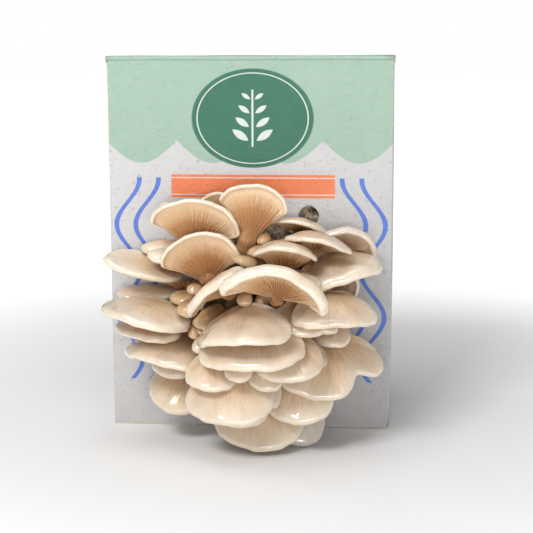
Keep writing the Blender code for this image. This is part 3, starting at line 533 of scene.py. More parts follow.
def build_mushroom(m, root, root_normal, material):
    """The cap, its gills and its stem as one closed skin."""
    in_sight = m.name in GILLS_IN_SIGHT
    if m.small:
        spacing = 1.5 if in_sight else 2.0
        crown, curl, edge, inside, under, lower, gilled_rings = 8, 5, 4, 3, 9, 6, 2
    else:
        spacing = 1.5 if in_sight else 1.9
        crown, curl, edge, inside, under, lower, gilled_rings = 15, 8, 6, 5, (18 if in_sight else 13), 8, 4
    gilled_share = 0.5 if in_sight else 0.24
    gilled_rings += 4 if in_sight else 0
    turn, girth = even_turns(m, spacing)
    gills = len(turn)
    top, reach, below, lift = cap_top(m, turn, crown, curl, edge, inside)
    fine_turn, fine_lift = finer(turn, FULL_TURN), finer(lift, lift[0])

    # The underside, and on down the stem
    shares = (np.arange(0, under + 1) / under) ** 0.9
    draw = np.random.default_rng(int(m.wide * 11) + len(m.name))
    sway = np.repeat(draw.normal(size=gills), SAMPLES_PER_GILL) * 0.12 * FULL_TURN / gills
    bases = np.array([gill_base(m, fine_turn + sway * np.sin(t * 5), t) for t in shares])
    bases[:, :, 2] += fine_lift * (1 - shares[:, None]) ** 2
    origin, axes = place_of(m)
    frame_axes = np.array(axes)
    bases = origin + bases @ frame_axes
    upper_stem = np.arange(1, gilled_rings + 1) / gilled_rings * gilled_share
    lower_stem = gilled_share + np.arange(1, lower + 1) / lower * (1 - gilled_share)
    fine_stem = stem_rings(m, axes, bases[-1], root, root_normal, upper_stem)
    coarse_stem = stem_rings(m, axes, bases[-1, ::SAMPLES_PER_GILL], root, root_normal, lower_stem)
    skin = np.concatenate([bases, fine_stem])

    # The gills stand out of the skin, fade down the stem and end in a smooth margin at the rim
    normals = grid_normals(skin)
    outward = np.sign((normals[0] * -axes[2]).sum(-1).mean())
    heights = gill_heights(m, gills, shares)
    fade = 1 - smooth(np.arange(1, gilled_rings + 1) / (gilled_rings + 0.3))
    heights = np.concatenate([heights, fade[:, None] * heights[-1]])
    tallest = 0.35 + 0.9 * np.sin(np.pi * np.clip(1 - shares, 0, 1) ** 0.7)
    room = np.concatenate([tallest, np.full(gilled_rings, 0.5)]) * (0.8 if m.small else 1)
    margin = np.concatenate([smooth((0.2 - shares) / 0.2), np.zeros(gilled_rings)])[:, None]
    skin = skin + normals * outward * ((heights - 0.55) * (1 - margin) * room[:, None])[..., None]
    ridge = heights / heights.max() * (1 - margin) + margin

    # One list of points: the crown's middle, the top, the gilled skin, the bare stem and its foot
    n, f = gills, gills * SAMPLES_PER_GILL
    top_world = origin + top @ frame_axes
    points = np.concatenate([
        [origin + crown_height(m, 0, 0) * axes[2]], top_world.reshape(-1, 3), skin.reshape(-1, 3),
        coarse_stem.reshape(-1, 3), [root],
    ])
    tops, skins, stems = len(top), len(skin), len(coarse_stem)
    first_skin = 1 + tops * n
    first_stem = first_skin + skins * f
    last_top, last_skin, foot = first_skin - n, first_stem - f, first_stem + (stems - 1) * n
    j = np.arange(n)
    k = (j + 1) % n
    samples = [(SAMPLES_PER_GILL * j + q) % f for q in range(SAMPLES_PER_GILL + 1)]
    middle = stacked(0, 1 + j, 1 + k)
    joined = stacked(last_top + j, *(first_skin + s for s in samples), last_top + k)
    parted = stacked(first_stem + j, first_stem + k, *(last_skin + s for s in samples[::-1]))
    end = stacked(foot + j, len(points) - 1, foot + k)
    grids = (tops, n, 1), (skins, f, first_skin), (stems, n, first_stem)
    quads = np.concatenate([grid_faces(rows, columns, True, start) for rows, columns, start in grids])
    made = mesh_object(m.name + "_flesh", to_world(points), [middle, quads, joined, parted, end], material)

    def fibres(angles, lengthways):
        """Places along the fibres: two round the cap, one along it."""
        rim = girth / FULL_TURN / 0.9
        along = np.asarray(lengthways)[:, None] * m.reach / 11
        return stacked(np.cos(angles) * rim, np.sin(angles) * rim, along).reshape(-1, 3)

    point_values(made, "fibre", np.concatenate([
        [[0, 0, 0]], fibres(turn, reach[:, 0]), fibres(fine_turn, np.linspace(1, -1, skins)),
        fibres(turn, np.linspace(-1, -4, stems)), [[0, 0, -4]],
    ]))
    under_reach = np.concatenate([1 - shares, -np.arange(1, gilled_rings + 1) / gilled_rings * 0.3])
    stem_reach = np.repeat(np.linspace(-0.4, -1, stems), n)
    skin_reach = np.repeat(under_reach, f)
    point_values(made, "reach", np.concatenate([[0], reach.ravel(), skin_reach, stem_reach, [-1]]))
    point_values(made, "under", np.concatenate([[0], below.ravel(), np.ones(skins * f + stems * n + 1)]))
    whole_top, whole_stem = np.ones(1 + tops * n), np.ones(stems * n + 1)
    point_values(made, "ridge", np.concatenate([whole_top, ridge.ravel(), whole_stem]))
    point_values(made, "grey", np.full(len(points), GREY.get(m.name, 0)))
    point_values(made, "pale", np.full(len(points), PALE.get(m.name, USUAL_PALE)))
    point_values(made, "seed", np.full(len(points), (len(m.name) * 17 + int(m.wide * 7)) % 23))
    return made


# Shader helpers


class Value:
    """An output socket in a material. Arithmetic on it adds Math nodes to its tree."""

    def __init__(self, socket):
        self.socket = socket
        self.tree = socket.id_data

    def __add__(self, other):
        return maths("ADD", self, other)

    def __sub__(self, other):
        return maths("SUBTRACT", self, other)

    def __rsub__(self, other):
        return maths("SUBTRACT", other, self)

    def __mul__(self, other):
        return maths("MULTIPLY", self, other)

    def __pow__(self, power):
        return maths("POWER", self, power)

    def __abs__(self):
        return maths("ABSOLUTE", self)

    def at_most(self, other):
        return maths("MINIMUM", self, other)

    def at_least(self, other):
        return maths("MAXIMUM", self, other)

    def clamped(self):
        """Keeps the last step's result from 0 to 1."""
        self.socket.node.use_clamp = True
        return self


def plug(made, values):
    """Fills a node's inputs, by name or number, with Values, numbers or colours."""
    for key, value in values.items():
        slot = made.inputs[key]
        if isinstance(value, Value):
            value.tree.links.new(value.socket, slot)
        elif slot.type == "RGBA":
            slot.default_value = (*np.broadcast_to(value, 3), 1)
        else:
            slot.default_value = value


def add(tree, kind, values, output=0, **settings):
    """Adds a node, fills its inputs and gives one of its outputs."""
    made = tree.nodes.new(kind)
    for key, value in settings.items():
        setattr(made, key, value)
    plug(made, values)
    return Value(made.outputs[output])


def maths(operation, a, b=0.0):
    tree = (a if isinstance(a, Value) else b).tree
    return add(tree, "ShaderNodeMath", {0: a, 1: b}, operation=operation)


def within(limit, value, sharp):
    """1 where the value is under the limit and 0 over it, with an edge 1 / sharp wide."""
    return ((limit - value) * sharp).clamped()


def mix(share, a, b, blend="MIX"):
    """Mix of two colours or greys. At least one of the three is a Value."""
    tree = next(value.tree for value in (share, a, b) if isinstance(value, Value))
    return add(tree, "ShaderNodeMix", {"Factor": share, 6: a, 7: b}, 2, data_type="RGBA", blend_type=blend)


def ramp(value, start, end, low=0.0, high=1.0):
    """A grey that runs from low at the start to high at the end."""
    made = add(value.tree, "ShaderNodeValToRGB", {0: value})
    for stop, place, grey in zip(made.socket.node.color_ramp.elements, (start, end), (low, high)):
        stop.position = place
        stop.color = (grey, grey, grey, 1)
    return made


def noise(place, scale, detail, rough, warp=0.0):
    values = {"Vector": place, "Scale": scale, "Detail": detail, "Roughness": rough, "Distortion": warp}
    return add(place.tree, "ShaderNodeTexNoise", values)


def cells(place, scale):
    """Distance from the middles of scattered cells."""
    return add(place.tree, "ShaderNodeTexVoronoi", {"Vector": place, "Scale": scale}, "Distance")


def attribute(tree, name, output="Fac"):
    return add(tree, "ShaderNodeAttribute", {}, output, attribute_name=name)


def object_place(tree):
    return add(tree, "ShaderNodeTexCoord", {}, "Object")


def split(place):
    parts = add(place.tree, "ShaderNodeSeparateXYZ", {0: place})
    return [Value(socket) for socket in parts.socket.node.outputs]


def bump(height, distance, strength):
    return add(height.tree, "ShaderNodeBump", {"Height": height, "Distance": distance, "Strength": strength})


def new_material(name):
    material = bpy.data.materials.new(name)
    material.use_nodes = True
    return material, material.node_tree, material.node_tree.nodes["Principled BSDF"]


def outputs_of(made):
    return {socket.name: Value(socket) for socket in made.outputs}


def new_group(name, inputs, outputs):
    """A node group from the kind of each named socket; gives its tree and its inputs."""
    tree = bpy.data.node_groups.new(name, "ShaderNodeTree")
    for side, sockets in (("INPUT", inputs), ("OUTPUT", outputs)):
        for label, kind in sockets.items():
            tree.interface.new_socket(label, in_out=side, socket_type="NodeSocket" + kind)
    return tree, outputs_of(tree.nodes.new("NodeGroupInput"))


def end_group(tree, values):
    plug(tree.nodes.new("NodeGroupOutput"), values)
    return tree


def use_group(tree, shared, **values):
    """Adds a node group to a material and gives its outputs."""
    made = tree.nodes.new("ShaderNodeGroup")
    made.node_tree = shared
    plug(made, values)
    return outputs_of(made)


def flesh_group():
    """Mushroom flesh: a top skin that pales towards the rim, with fine fibrils, and tan gills below.

    The colour runs with reach from the stem to the rim, and along the fibres where it streaks.
    """
    tree, given = new_group(
        "mushroom flesh",
        {**dict.fromkeys(("Back", "Middle", "Rim", "Crest", "Valley"), "Color"), "Streaks": "Float"},
        {"Colour": "Color", "Roughness": "Float", "Gloss": "Float", "Height": "Float"},
    )
    back, middle, rim, crest, shaded_valley = (given[name] for name in ("Back", "Middle", "Rim", "Crest", "Valley"))
    reach, under, ridge, grey, pale, seed = (
        attribute(tree, name) for name in ("reach", "under", "ridge", "grey", "pale", "seed")
    )
    place = object_place(tree)
    both = {0: attribute(tree, "fibre", "Vector"), 1: add(tree, "ShaderNodeCombineXYZ", {0: seed})}
    fibre = add(tree, "ShaderNodeVectorMath", both, operation="ADD")
    fine = noise(fibre, 1.1, 4, 0.6)
    broad = noise(fibre, 0.18, 3, 0.6)
    blotch = noise(place, 60, 4, 0.6, 0.4)
    patch = noise(place, 22, 3, 0.5, 0.6)
    speck = noise(place, 900, 2, 0.6)
    # The top skin: from the back over the middle to the rim, with streaks and blotches
    uneven = reach + (patch - 0.5) * 0.45 + (broad - 0.5) * 0.35 + (pale - USUAL_PALE) * 0.35
    low = ((uneven - 0.05) * 2.1).clamped()
    high = ((uneven - 0.52) * 2.4).clamped()
    streak = ramp(fine, 0.3, 0.7)
    skin = mix(high, mix(low, back, middle), rim)
    skin = mix(given["Streaks"] * (1.25 - high) * (1.0 - streak), skin, (0.68, 0.56, 0.44), "MULTIPLY")
    skin = mix(ramp(blotch, 0.5, 0.75) * 0.22, skin, (0.72, 0.6, 0.47), "MULTIPLY")
    # The gills: painted shade darkens them between their crests and towards the neck, and they pale towards
    # the rim
    outer = reach.at_least(0.0).clamped()
    near = (outer * 2.0).clamped()
    far = (outer * 2.0 - 1.0).clamped().at_least(0.0001) ** 0.7
    crests = mix(far * 0.42, mix(near, mix(0.4, crest, shaded_valley), crest), rim)
    # Painted shade: towards the neck the valleys between the gills go almost black
    deep = mix(near, mix(0.35, shaded_valley, (0.08, 0.035, 0.015)), shaded_valley)
    deep = mix(far * 0.95, deep, mix(0.35, crest, rim))
    gills = mix(ridge.at_least(0.0001) ** 0.6, deep, crests)
    gills = mix(ramp(patch, 0.4, 0.7) * 0.25, gills, (0.8, 0.66, 0.5), "MULTIPLY")
    # The stem, where reach is below 0, and its dark foot: brown flesh, darkened further by painted shade of
    # the crevices at the base
    stem = (reach * -2.2).clamped()
    gills = mix(stem * 0.8, gills, mix(streak, mix(0.45, crest, shaded_valley), crest))
    foot = ((-0.4 - reach) * 1.8).clamped()
    gills = mix(foot * 0.8, gills, (0.15, 0.08, 0.038))
    colour = mix(under, skin, gills)
    dull = add(tree, "ShaderNodeHueSaturation", {"Saturation": 0.45, "Value": 0.74, "Color": colour})
    # The wet film that shines on the rims and leaves the undersides and the grey caps dry
    rough = mix(under, mix(high, 0.48, 0.27), 0.62)
    film = ramp(noise(place, 38, 4, 0.6, 0.8), 0.38, 0.5, 0.25)
    top = 1.0 - under
    gloss = ((high * top).clamped() + 0.2) * film * top
    height = fine * 0.7 + blotch * 0.5 + speck * 0.12
    return end_group(tree, {
        "Colour": mix(grey, colour, dull), "Roughness": mix(0.12, rough, speck),
        "Gloss": gloss * (1.0 - grey * 0.75).clamped(), "Height": height * (1.0 - under * 0.6),
    })


def flesh_material(name, shared, **looks):
    material, tree, shader = new_material(name)
    flesh = use_group(tree, shared, **looks)
    plug(shader, {
        "Base Color": flesh["Colour"], "Roughness": flesh["Roughness"], "Coat Weight": flesh["Gloss"],
        "Coat Roughness": 0.05, "Coat IOR": 1.8, "Specular IOR Level": 0.45, "Subsurface Weight": 0.12,
        "Subsurface Radius": (1.0, 0.55, 0.28), "Subsurface Scale": 0.004,
        "Normal": bump(flesh["Height"], 0.0002, 0.8),
    })
    return material


def grain_group():
    """Paper board up close: pressed fibres, specks and the slight mottle of uncoated print."""
    tree, given = new_group(
        "paper grain", {"Scale": "Float"}, {"Mottle": "Float", "Specks": "Float", "Height": "Float"}
    )
    values = {0: object_place(tree), "Scale": given["Scale"]}
    place = add(tree, "ShaderNodeVectorMath", values, operation="SCALE")
    tooth = noise(place, 420, 4, 0.7)
    fibre = noise(place, 160, 5, 0.75, 2.5)
    creases = noise(place, 95, 4, 0.6, 1.5)
    bead = (0.35 - cells(place, 330)).clamped()
    return end_group(tree, {
        "Mottle": noise(place, 30, 5, 0.65, 0.5), "Specks": ramp(noise(place, 260, 3, 0.6), 0.62, 0.7),
        "Height": tooth * 0.5 + fibre * 0.6 + creases * 2.2 + bead * 1.2,
    })


def printed_board(shared):
    """The carton's print, worked out from the place on the board: a pale green field with scalloped
    lower edge, a dark green oval with a leaf sprig, an orange band, and pairs of blue wavy lines."""
    material, tree, shader = new_material("printed_board")
    place = object_place(tree)
    x, y, z = (part * 1000 for part in split(place))
    grain = use_group(tree, shared, Scale=1.0)
    mottle, specks = grain["Mottle"], grain["Specks"]
    front = maths("LESS_THAN", y, -FRONT + 3)

    # Bare paper, with painted shade that darkens it towards the lower right
    lean = ((x + 150.0 - z) * (1 / 260)).clamped()
    paper = mix(lean, (0.57, 0.565, 0.565), (0.45, 0.445, 0.45))
    paper = mix(((mottle - 0.35) * 0.5).clamped(), paper, (0.8, 0.79, 0.78), "MULTIPLY")
    paper = mix(specks * 0.45, paper, (0.25, 0.24, 0.235))

    # The green field. Its scallops go by the distance round the carton, so they run on over the folds
    scallop_top, scallop_wide, scallop_deep = 196.0, 48.4, 15
    round_x = x + maths("SIGN", x) * (y + FRONT)
    border = scallop_top - abs(maths("SINE", round_x * (np.pi / scallop_wide))) * scallop_deep
    green = mix(((mottle - 0.3) * 0.55).clamped(), (0.33, 0.45, 0.365), (0.255, 0.38, 0.30))
    blots = ramp(noise(place, 210, 3, 0.55, 0.3), 0.46, 0.66)
    green = mix(blots * 0.3, green, (0.27, 0.42, 0.33))
    green = mix(specks * 0.3, green, (0.2, 0.33, 0.26))
    colour = mix(((z - border) * 1.4).clamped(), paper, green)

    # Two wavy lines down each margin
    line_out, line_apart, line_half_wide, line_low, line_high = 76.0, 6.5, 1.85, 32.0, 172.0
    sway = maths("SINE", z * (FULL_TURN / 62)) * 8
    gap = abs(abs(abs(x) - line_out - sway) - line_apart)
    lines = within(line_half_wide, gap, 2.5) * within(line_high, z, 1.5) * ((z - line_low) * 1.5).clamped()
    colour = mix(lines * front * 0.95, colour, (0.075, 0.17, 0.58))

    # The orange band, with a thin pale line along each edge
    middle_x, band_middle, band_half_high, band_half_wide = 2.0, 166.0, 8.0, 55.0
    from_middle = x - middle_x
    up_band = abs(z - band_middle)
    in_band = within(band_half_high, up_band, 2.0) * within(band_half_wide, abs(from_middle), 2.0) * front
    orange = mix(noise(place, 120, 4, 0.7, 0.3), (0.80, 0.195, 0.07), (0.72, 0.22, 0.10))
    orange = mix(within(0.45, abs(up_band - 5.6), 4.0), orange, (0.72, 0.66, 0.6))
    colour = mix(in_band, colour, orange)

    # The dark oval, with a thin ring, and a stalk with four pairs of leaves
    oval_middle, oval_half_wide, oval_half_high = 211.0, 41.0, 33.0
    above = z - oval_middle
    u, w = from_middle * (1 / oval_half_wide), above * (1 / oval_half_high)
    oval = maths("SQRT", u * u + w * w)
    inside = within(1.0, oval, 45.0) * front
    colour = mix(inside, colour, mix(mottle, (0.022, 0.125, 0.075), (0.04, 0.165, 0.105)))
    stalk = within(0.9, abs(from_middle), 2.0) * within(19.0, abs(above), 2.0)
    marks = within(0.014, abs(oval - 0.9), 130.0).at_least(stalk)
    for step in range(4):
        size = 8.5 - step * 1.3
        for hand in (-1, 1):
            cos, sin = float(np.cos(0.6)), hand * float(np.sin(0.6))
            u = x - (middle_x + hand * size * 0.95)
            w = z - (200.0 + step * 8.5)
            along = (u * cos + w * sin) * (1 / (size * 0.8))
            across = (w * cos - u * sin) * (1 / (size * 0.32))
            marks = marks.at_least(within(1.0, along * along + abs(across), 5.0))
    colour = mix(marks * front, colour, (0.60, 0.66, 0.60))

    # Worn folds, where the pale board shows through, and a soiled foot
    corner = (abs(x) - (WIDTH / 2 - 1.6)).at_most(abs(y) - (FRONT - 1.6))
    worn = ((corner + 0.2) * 0.8).clamped()
    chips = ramp(noise(place, 190, 4, 0.7), 0.44, 0.62)
    colour = mix(worn * chips * 0.7, colour, (0.55, 0.5, 0.4))
    colour = mix(ramp(z * (1 / 30), 0.0, 1.0, 1.0, 0.0) * (chips * 0.25), colour, (0.42, 0.37, 0.32))
    plug(shader, {
        "Base Color": colour, "Roughness": mix(0.15, mix(inside.at_least(in_band), 0.5, 0.38), mottle),
        "Specular IOR Level": 0.4, "Normal": bump(grain["Height"], 0.00055, 0.9),
    })
    return material


def bare_board(shared):
    """Unprinted cut edges and the inside of the carton: pale fibrous board, browner where it is worn."""
    material, tree, shader = new_material("bare_board")
    grain = use_group(tree, shared, Scale=1.3)
    colour = mix(grain["Mottle"], (0.66, 0.62, 0.52), (0.52, 0.47, 0.37))
    plug(shader, {
        "Base Color": mix(grain["Specks"] * 0.5, colour, (0.3, 0.25, 0.18)),
        "Roughness": mix(grain["Mottle"], 0.75, 0.9), "Normal": bump(grain["Height"], 0.0002, 0.8),
    })
    return material


def sawdust_group():
    """Dark sawdust knitted together by white threads, with crumbs."""
    tree, given = new_group(
        "grown sawdust", {"White": "Float"}, {"Colour": "Color", "Roughness": "Float", "Height": "Float"}
    )
    place = object_place(tree)
    crumbs = cells(place, 420)
    wood = mix(crumbs, (0.05, 0.025, 0.012), (0.17, 0.095, 0.05))
    white = noise(place, 75, 6, 0.7, 1.2) * 0.75 + noise(place, 260, 6, 0.75, 3.0) * 0.5 + given["White"]
    share = ramp(white, 0.6, 0.78)
    return end_group(tree, {
        "Colour": mix(share, wood, (0.62, 0.55, 0.45)), "Roughness": mix(share, 0.95, 0.7),
        "Height": crumbs * 0.6 + white,
    })


def grown_sawdust(shared):
    """The block behind the board: sawdust and threads all over."""
    material, tree, shader = new_material("grown_sawdust")
    sawdust = use_group(tree, shared, White=0.0)
    plug(shader, {
        "Base Color": sawdust["Colour"], "Roughness": sawdust["Roughness"],
        "Normal": bump(sawdust["Height"], 0.0012, 0.9),
    })
    return material


def stem_butts(flesh, sawdust):
    """The fused butts: brown flesh, darkened further as painted shade of the crevices between the stems, with
    crumbs and threads of the block over their upper side.
    """
    material, tree, shader = new_material("stem_flesh")
    # Painted shade: these browns are darker than the caps' to stand for the shade between the stems
    skin = use_group(
        tree, flesh, Back=(0.22, 0.13, 0.07), Middle=(0.42, 0.28, 0.17), Rim=(0.6, 0.46, 0.32),
        Crest=(0.6, 0.45, 0.3), Valley=(0.35, 0.2, 0.1), Streaks=0.6,
    )
    crumbs = use_group(tree, sawdust, White=0.05)
    place = object_place(tree)
    crumbs_from = 0.136
    ragged = noise(place, 90, 4, 0.6) * 0.03
    share = ((split(place)[2] + ragged - crumbs_from) * 250.0).clamped()
    plug(shader, {
        "Base Color": mix(share, skin["Colour"], crumbs["Colour"]),
        "Roughness": mix(share, skin["Roughness"], crumbs["Roughness"]),
        "Coat Weight": skin["Gloss"] * (1.0 - share), "Coat Roughness": 0.07, "Specular IOR Level": 0.45,
        "Normal": bump(mix(share, skin["Height"], crumbs["Height"]), 0.0006, 0.9),
    })
    return material


# The carton


def ellipse_gap(x, z, centre, size):
    """Below 0 inside the ellipse and above 0 outside, in shares of its radius."""
    return np.hypot((x - centre[0]) / (size[0] / 2), (z - centre[1]) / (size[1] / 2)) - 1


def spread(low, high, step):
    """Evenly spaced numbers between two, no further apart than step."""
    return np.linspace(low, high, max(2, int(np.ceil((high - low) / step)) + 1))


def spread_near(middle, reach, step):
    return spread(middle - reach, middle + reach, step)


def join_places(*parts):
    return np.unique(np.round(np.concatenate(parts), 4))


def board_piece(name, places, faces, thick, *materials):
    """Board behind the given face, in millimetres. A second material takes its back and its cut edges."""
    made = mesh_object(name, places.reshape(-1, 3) * MM, [faces], *materials)
    board = made.modifiers.new("board_thickness", "SOLIDIFY")
    board.thickness = thick * MM
    board.offset = -1
    board.material_offset = board.material_offset_rim = len(materials) - 1
    return made


def build_walls(board, inner):
    """Four walls as one folded tube with round folds. Each panel bows out a little between its folds:
    a half sine across it times a half sine up it. The opening and the air hole are cut by leaving out
    the cells inside their ellipses and drawing the cells' corners onto them."""
    fold, coarse, fine, finest = 1.2, 6, 1.6, 1.0
    cut_out, cut_up, cut_round = 40, 46, 8
    half, deep = WIDTH / 2, FRONT
    turn = np.radians([15, 30, 45, 60, 75])
    front_x = join_places(
        spread(-half + fold, OPENING[0] - cut_out, coarse), spread_near(OPENING[0], cut_out, fine),
        spread(OPENING[0] + cut_out, half - fold, coarse), spread_near(AIR_HOLE[0], cut_round, finest),
    )
    right = np.concatenate([
        stacked(half - fold + fold * np.sin(turn), -deep + fold - fold * np.cos(turn)),
        stacked(half, spread(-deep + fold, deep - fold, coarse)),
        stacked(half - fold + fold * np.cos(turn), deep - fold + fold * np.sin(turn)),
    ])
    back_x = spread(-half + fold, half - fold, coarse)[::-1]
    path = np.concatenate([stacked(front_x, -deep), right, stacked(back_x, deep), right[::-1] * [-1, 1]])
    low, high = OPENING[1] - cut_up, OPENING[1] + cut_up
    heights = join_places(
        spread(0.3, low, coarse), spread(low, high, fine), spread(high, HEIGHT - 0.6, coarse),
        spread_near(AIR_HOLE[1], cut_round, finest), [0.3, 1.2, 3.0, HEIGHT - 2.5, HEIGHT - 1.2],
    )
    x, y, z = (side.copy() for side in np.broadcast_arrays(path[:, 0], path[:, 1], heights[:, None]))
    on_front = y < -deep + 1e-6
    faces = grid_faces(len(heights), len(path), True)
    for centre, size in ((OPENING, OPENING_SIZE), (AIR_HOLE, (2 * AIR_HOLE_RADIUS,) * 2)):
        gap = ellipse_gap(x, z, centre, size)
        mean_x, mean_z = x.ravel()[faces].mean(1), z.ravel()[faces].mean(1)
        inside = (ellipse_gap(mean_x, mean_z, centre, size) < 0) & on_front.ravel()[faces].all(1)
        edge = np.intersect1d(faces[inside], faces[~inside])
        grow = 1 / (gap.ravel()[edge] + 1)
        for side, middle in zip((x, z), centre):
            side.ravel()[edge] = middle + (side.ravel()[edge] - middle) * grow
        faces = faces[~inside]
    across_front = np.cos(np.clip(x / half, -1, 1) * np.pi / 2)
    across_side = np.cos(np.clip(y / deep, -1, 1) * np.pi / 2)
    up = np.sin(np.clip(z / HEIGHT, 0, 1) * np.pi)
    dents = ripples(stacked(x, y, z), 90, 5) * 0.18
    y += np.where(on_front, -1, np.where(y > deep - 1e-6, 1, 0)) * across_front * up * (0.55 + dents)
    on_side = np.abs(x) > half - 1e-6
    x += np.where(on_side, np.sign(x), 0) * across_side * (1.3 * up**0.5 + dents * up)
    # The crushed corner low on the right
    near = np.exp(-(((x - half) / 7) ** 2 + ((y + deep) / 7) ** 2 + (z / 7) ** 2))
    x -= 1.6 * near
    y += 0.9 * near
    z += 1.1 * near * (1 - z / 20)
    used, renumbered = np.unique(faces, return_inverse=True)
    places = stacked(x, y, z).reshape(-1, 3)[used]
    return board_piece("carton_walls", places, renumbered.reshape(-1, 4)[:, ::-1], BOARD, board, inner)


def build_lid(board):
    """The lid with its proud front lip, and the two tucked tabs that show at its ends.

    The lid's edge runs from its back over the front fold and down behind the lip. Half sines both ways
    and soft ripples lower it a little. Each tab hangs by a straight drop that eases off to the back.
    """
    lip, fold, half = 0.5, 1.2, WIDTH / 2
    top, front = HEIGHT + lip, -FRONT - lip
    bend = np.radians([30, 60, 90])
    folded = front + fold
    y = np.concatenate([[FRONT - 0.6, folded], folded - np.sin(bend) * fold, [front, front + 0.3]])
    z = np.concatenate([[top, top], top - fold + np.cos(bend) * fold, [top - 2.2, top - 2.9]])
    x = spread(-half - lip, half + lip, 8)
    gx, gy = np.meshgrid(x, y, indexing="ij")
    sag = 1.2 * np.sin(np.pi * (gx + half) / WIDTH) * np.sin(np.pi * np.clip((gy + FRONT) / DEPTH, 0, 1))
    gz = z - sag + ripples(stacked(gx, gy), 60, 9) * 0.12
    pieces = [board_piece("carton_lid", stacked(gx, gy, gz), grid_faces(len(x), len(y))[:, ::-1], 0.8, board)]
    gy, down = np.meshgrid(np.linspace(-FRONT - 0.7, -FRONT + 20, 14), np.linspace(0, 1, 6), indexing="ij")
    drop = 4.2 - 1.6 * smooth((gy + FRONT - 6) / 14)
    faces = grid_faces(*gy.shape)
    for hand, name in ((-1, "left"), (1, "right")):
        places = stacked(hand * (half + 0.75 - 0.25 * down), gy, HEIGHT + 0.2 - drop * down)
        outward = faces if hand < 0 else faces[:, ::-1]
        pieces.append(board_piece(f"carton_{name}_tab", places, outward, 0.7, board))
    return pieces


def build_bottom(inner):
    """The glued base, flat, and the loose flap whose bare edge shows low on the left. The flap rises in a
    straight line from the front, and then lies level."""
    left, front = -WIDTH / 2, -FRONT
    pieces = []
    for name, x_range, y_range, step, height, rise, thick in (
        ("carton_base", (left + 1, -left - 1), (front + 1, -front - 1), 10, BOARD, 0, BOARD - 0.1),
        ("carton_loose_flap", (left + 0.4, -38), (front - 0.9, front + 22), 3, 0.7, 0.6, 0.65),
    ):
        x, y = spread(*x_range, step), spread(*y_range, step)
        gx, gy = np.meshgrid(x, y, indexing="ij")
        places = stacked(gx, gy, height + rise * np.clip((gy + FRONT) / 30, 0, 1))
        pieces.append(board_piece(name, places, grid_faces(len(x), len(y)), thick, inner))
    return pieces


def build_base(material):
    """The fused stem butts: an ellipsoid with soft lumps, each point moved along its own direction.
    Behind the panel it narrows to pass the opening."""
    rows, around = 58, 110
    polar = np.linspace(0, np.pi, rows + 2)[1:-1]
    p, t = np.meshgrid(polar, np.arange(around) / around * FULL_TURN, indexing="ij")
    way = stacked(np.sin(p) * np.cos(t), np.cos(p), np.sin(p) * np.sin(t)).reshape(-1, 3)
    ways = np.concatenate([way, [[0, 1.0, 0], [0, -1.0, 0]]])
    lumps = 1 + 0.05 * ripples(ways * 40, 16, 3) + 0.02 * ripples(ways * 40, 5, 4)
    points = np.asarray(BASE_MIDDLE) + np.asarray(BASE_RADII) * ways * lumps[:, None]
    behind = smooth((2.0 - points[:, 1]) / 3.0)[:, None]
    narrowed = (points - BASE_MIDDLE) * [0.84, 1, 0.9] + BASE_MIDDLE
    points = points * (1 - behind) + narrowed * behind
    points[:, 1] = np.maximum(points[:, 1], -3.2)
    j = np.arange(around)
    k = (j + 1) % around
    last, pole = (rows - 1) * around, rows * around
    ends = np.concatenate([stacked(pole, j, k), stacked(last + j, pole + 1, last + k)])
    faces = [grid_faces(rows, around, True), ends]
    made = mesh_object("cluster_base_flesh", to_world(points), faces, material)
    angle = np.arctan2(ways[:, 2], ways[:, 0])
    point_values(made, "fibre", stacked(np.cos(angle) * 40, np.sin(angle) * 40, ways[:, 1] * 3))
    values = {"reach": 0.25, "under": 0.0, "ridge": 1.0, "grey": 0.0, "pale": USUAL_PALE, "seed": 3.0}
    for name, value in values.items():
        point_values(made, name, np.full(len(points), value))
    return made


# The studio, in metres


def add_camera():
    """The photograph's view, solved from the corners of the printed panel."""
    photo_size, focal_length, stand = 533, 1230, (0.080, -0.86283, 0.25301)
    yaw, pitch, roll = np.radians([-4.84, 9.808, -0.123])
    ahead = np.array([np.sin(yaw) * np.cos(pitch), np.cos(yaw) * np.cos(pitch), -np.sin(pitch)])
    right = np.array([np.cos(yaw), -np.sin(yaw), 0])
    up = np.cross(right, ahead)
    data = bpy.data.cameras.new("camera")
    data.sensor_width = 36
    data.lens = focal_length * data.sensor_width / photo_size
    data.clip_start = 0.05
    data.clip_end = 30
    made = bpy.data.objects.new("camera", data)
    matrix = np.eye(4)
    matrix[:3, 0] = np.cos(roll) * right + np.sin(roll) * up
    matrix[:3, 1] = np.cos(roll) * up - np.sin(roll) * right
    matrix[:3, 2] = -ahead
    matrix[:3, 3] = stand
    made.matrix_world = Matrix(matrix.tolist())
    bpy.context.scene.collection.objects.link(made)
    bpy.context.scene.camera = made


def add_floor():
    """A round pale floor that glows a little way off, so that it stays pale all round the carton."""
    spokes = 48
    j = np.arange(spokes)
    turn = j / spokes * FULL_TURN
    rings = np.concatenate([np.linspace(0.3, 2.1, 7), np.linspace(3, 12, 7)])
    circle = stacked(np.cos(turn), np.sin(turn), 0)
    points = np.concatenate([[[0, 0, 0]], (rings[:, None, None] * circle).reshape(-1, 3)])
    material, tree, shader = new_material("studio_floor")
    distance = add(tree, "ShaderNodeVectorMath", {0: object_place(tree)}, "Value", operation="LENGTH")
    away = {"Value": distance, "From Min": 0.1, "From Max": 0.9}
    share = add(tree, "ShaderNodeMapRange", away, interpolation_type="SMOOTHSTEP")
    plug(shader, {
        "Base Color": 0.93, "Roughness": 0.9, "Specular IOR Level": 0.1,
        "Emission Color": mix(share, 0.0, 0.85), "Emission Strength": 1.0,
    })
    middle = stacked(0, 1 + j, 1 + (j + 1) % spokes)
    made = mesh_object("floor", points, [middle, grid_faces(len(rings), spokes, True, 1)], material)


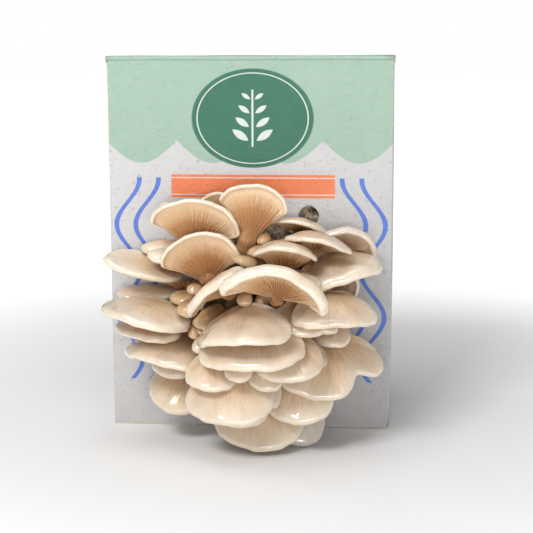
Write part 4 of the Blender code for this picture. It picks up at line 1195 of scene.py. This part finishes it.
def add_light(name, place, target, size, power):
    data = bpy.data.lights.new(name, "AREA")
    data.shape = "RECTANGLE"
    data.size, data.size_y = size
    data.energy = power
    made = bpy.data.objects.new(name, data)
    made.location = place
    made.rotation_mode = "QUATERNION"
    made.rotation_quaternion = (Vector(target) - Vector(place)).to_track_quat("-Z", "Y")
    bpy.context.scene.collection.objects.link(made)


def add_studio():
    """Soft light from a window, the room and the ceiling. The surroundings look white and light little."""
    world = bpy.data.worlds.new("studio")
    world.use_nodes = True
    seen = add(world.node_tree, "ShaderNodeLightPath", {}, "Is Camera Ray")
    plug(world.node_tree.nodes["Background"], {"Color": 1.0, "Strength": seen * 0.7 + 0.3})
    bpy.context.scene.world = world
    kit = (0, -0.05, 0.12)
    add_light("window", (-0.55, -1.15, 1.25), kit, (0.65, 0.4), 14)
    add_light("low_window", (0.2, -1.6, 0.14), kit, (1.0, 0.08), 5)
    add_light("room", (0.7, -1.7, 0.5), kit, (0.9, 0.9), 2.5)
    add_light("ceiling", (-0.1, -0.3, 1.7), (0, -0.08, 0.1), (1.2, 0.8), 6.5)


def main():
    scene = bpy.context.scene
    scene.view_settings.view_transform = "Standard"
    add_camera()
    add_floor()
    add_studio()
    grain = grain_group()
    flesh = flesh_group()
    board = printed_board(grain)
    inner = bare_board(grain)
    cream = flesh_material(
        "cap_flesh", flesh, Back=(0.52, 0.35, 0.21), Middle=(0.80, 0.625, 0.445), Rim=(0.83, 0.72, 0.575),
        Crest=(0.74, 0.49, 0.265), Valley=(0.42, 0.175, 0.055), Streaks=0.75,
    )
    brown = flesh_material(
        "young_cap_flesh", flesh, Back=(0.34, 0.18, 0.08), Middle=(0.52, 0.315, 0.155),
        Rim=(0.66, 0.46, 0.27), Crest=(0.6, 0.42, 0.26), Valley=(0.3, 0.15, 0.06), Streaks=0.4,
    )
    sawdust = sawdust_group()
    butts = stem_butts(flesh, sawdust)
    walls = build_walls(board, inner)
    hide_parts("carton")
    for piece in (walls, *build_lid(board), *build_bottom(inner)):
        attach(piece, "root")
    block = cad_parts["substrate_block"]
    block.data.materials.clear()
    block.data.materials.append(grown_sawdust(sawdust))
    base = build_base(butts)
    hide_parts("cluster_base")
    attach(base, "root")
    for m, (root, normal) in zip(CLUSTER, roots()):
        young = m.colour == "brown"
        made = build_mushroom(m, root, normal, brown if young else cream)
        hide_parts(m.name)
        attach(made, "root")
    bpy.context.view_layer.update()


main()
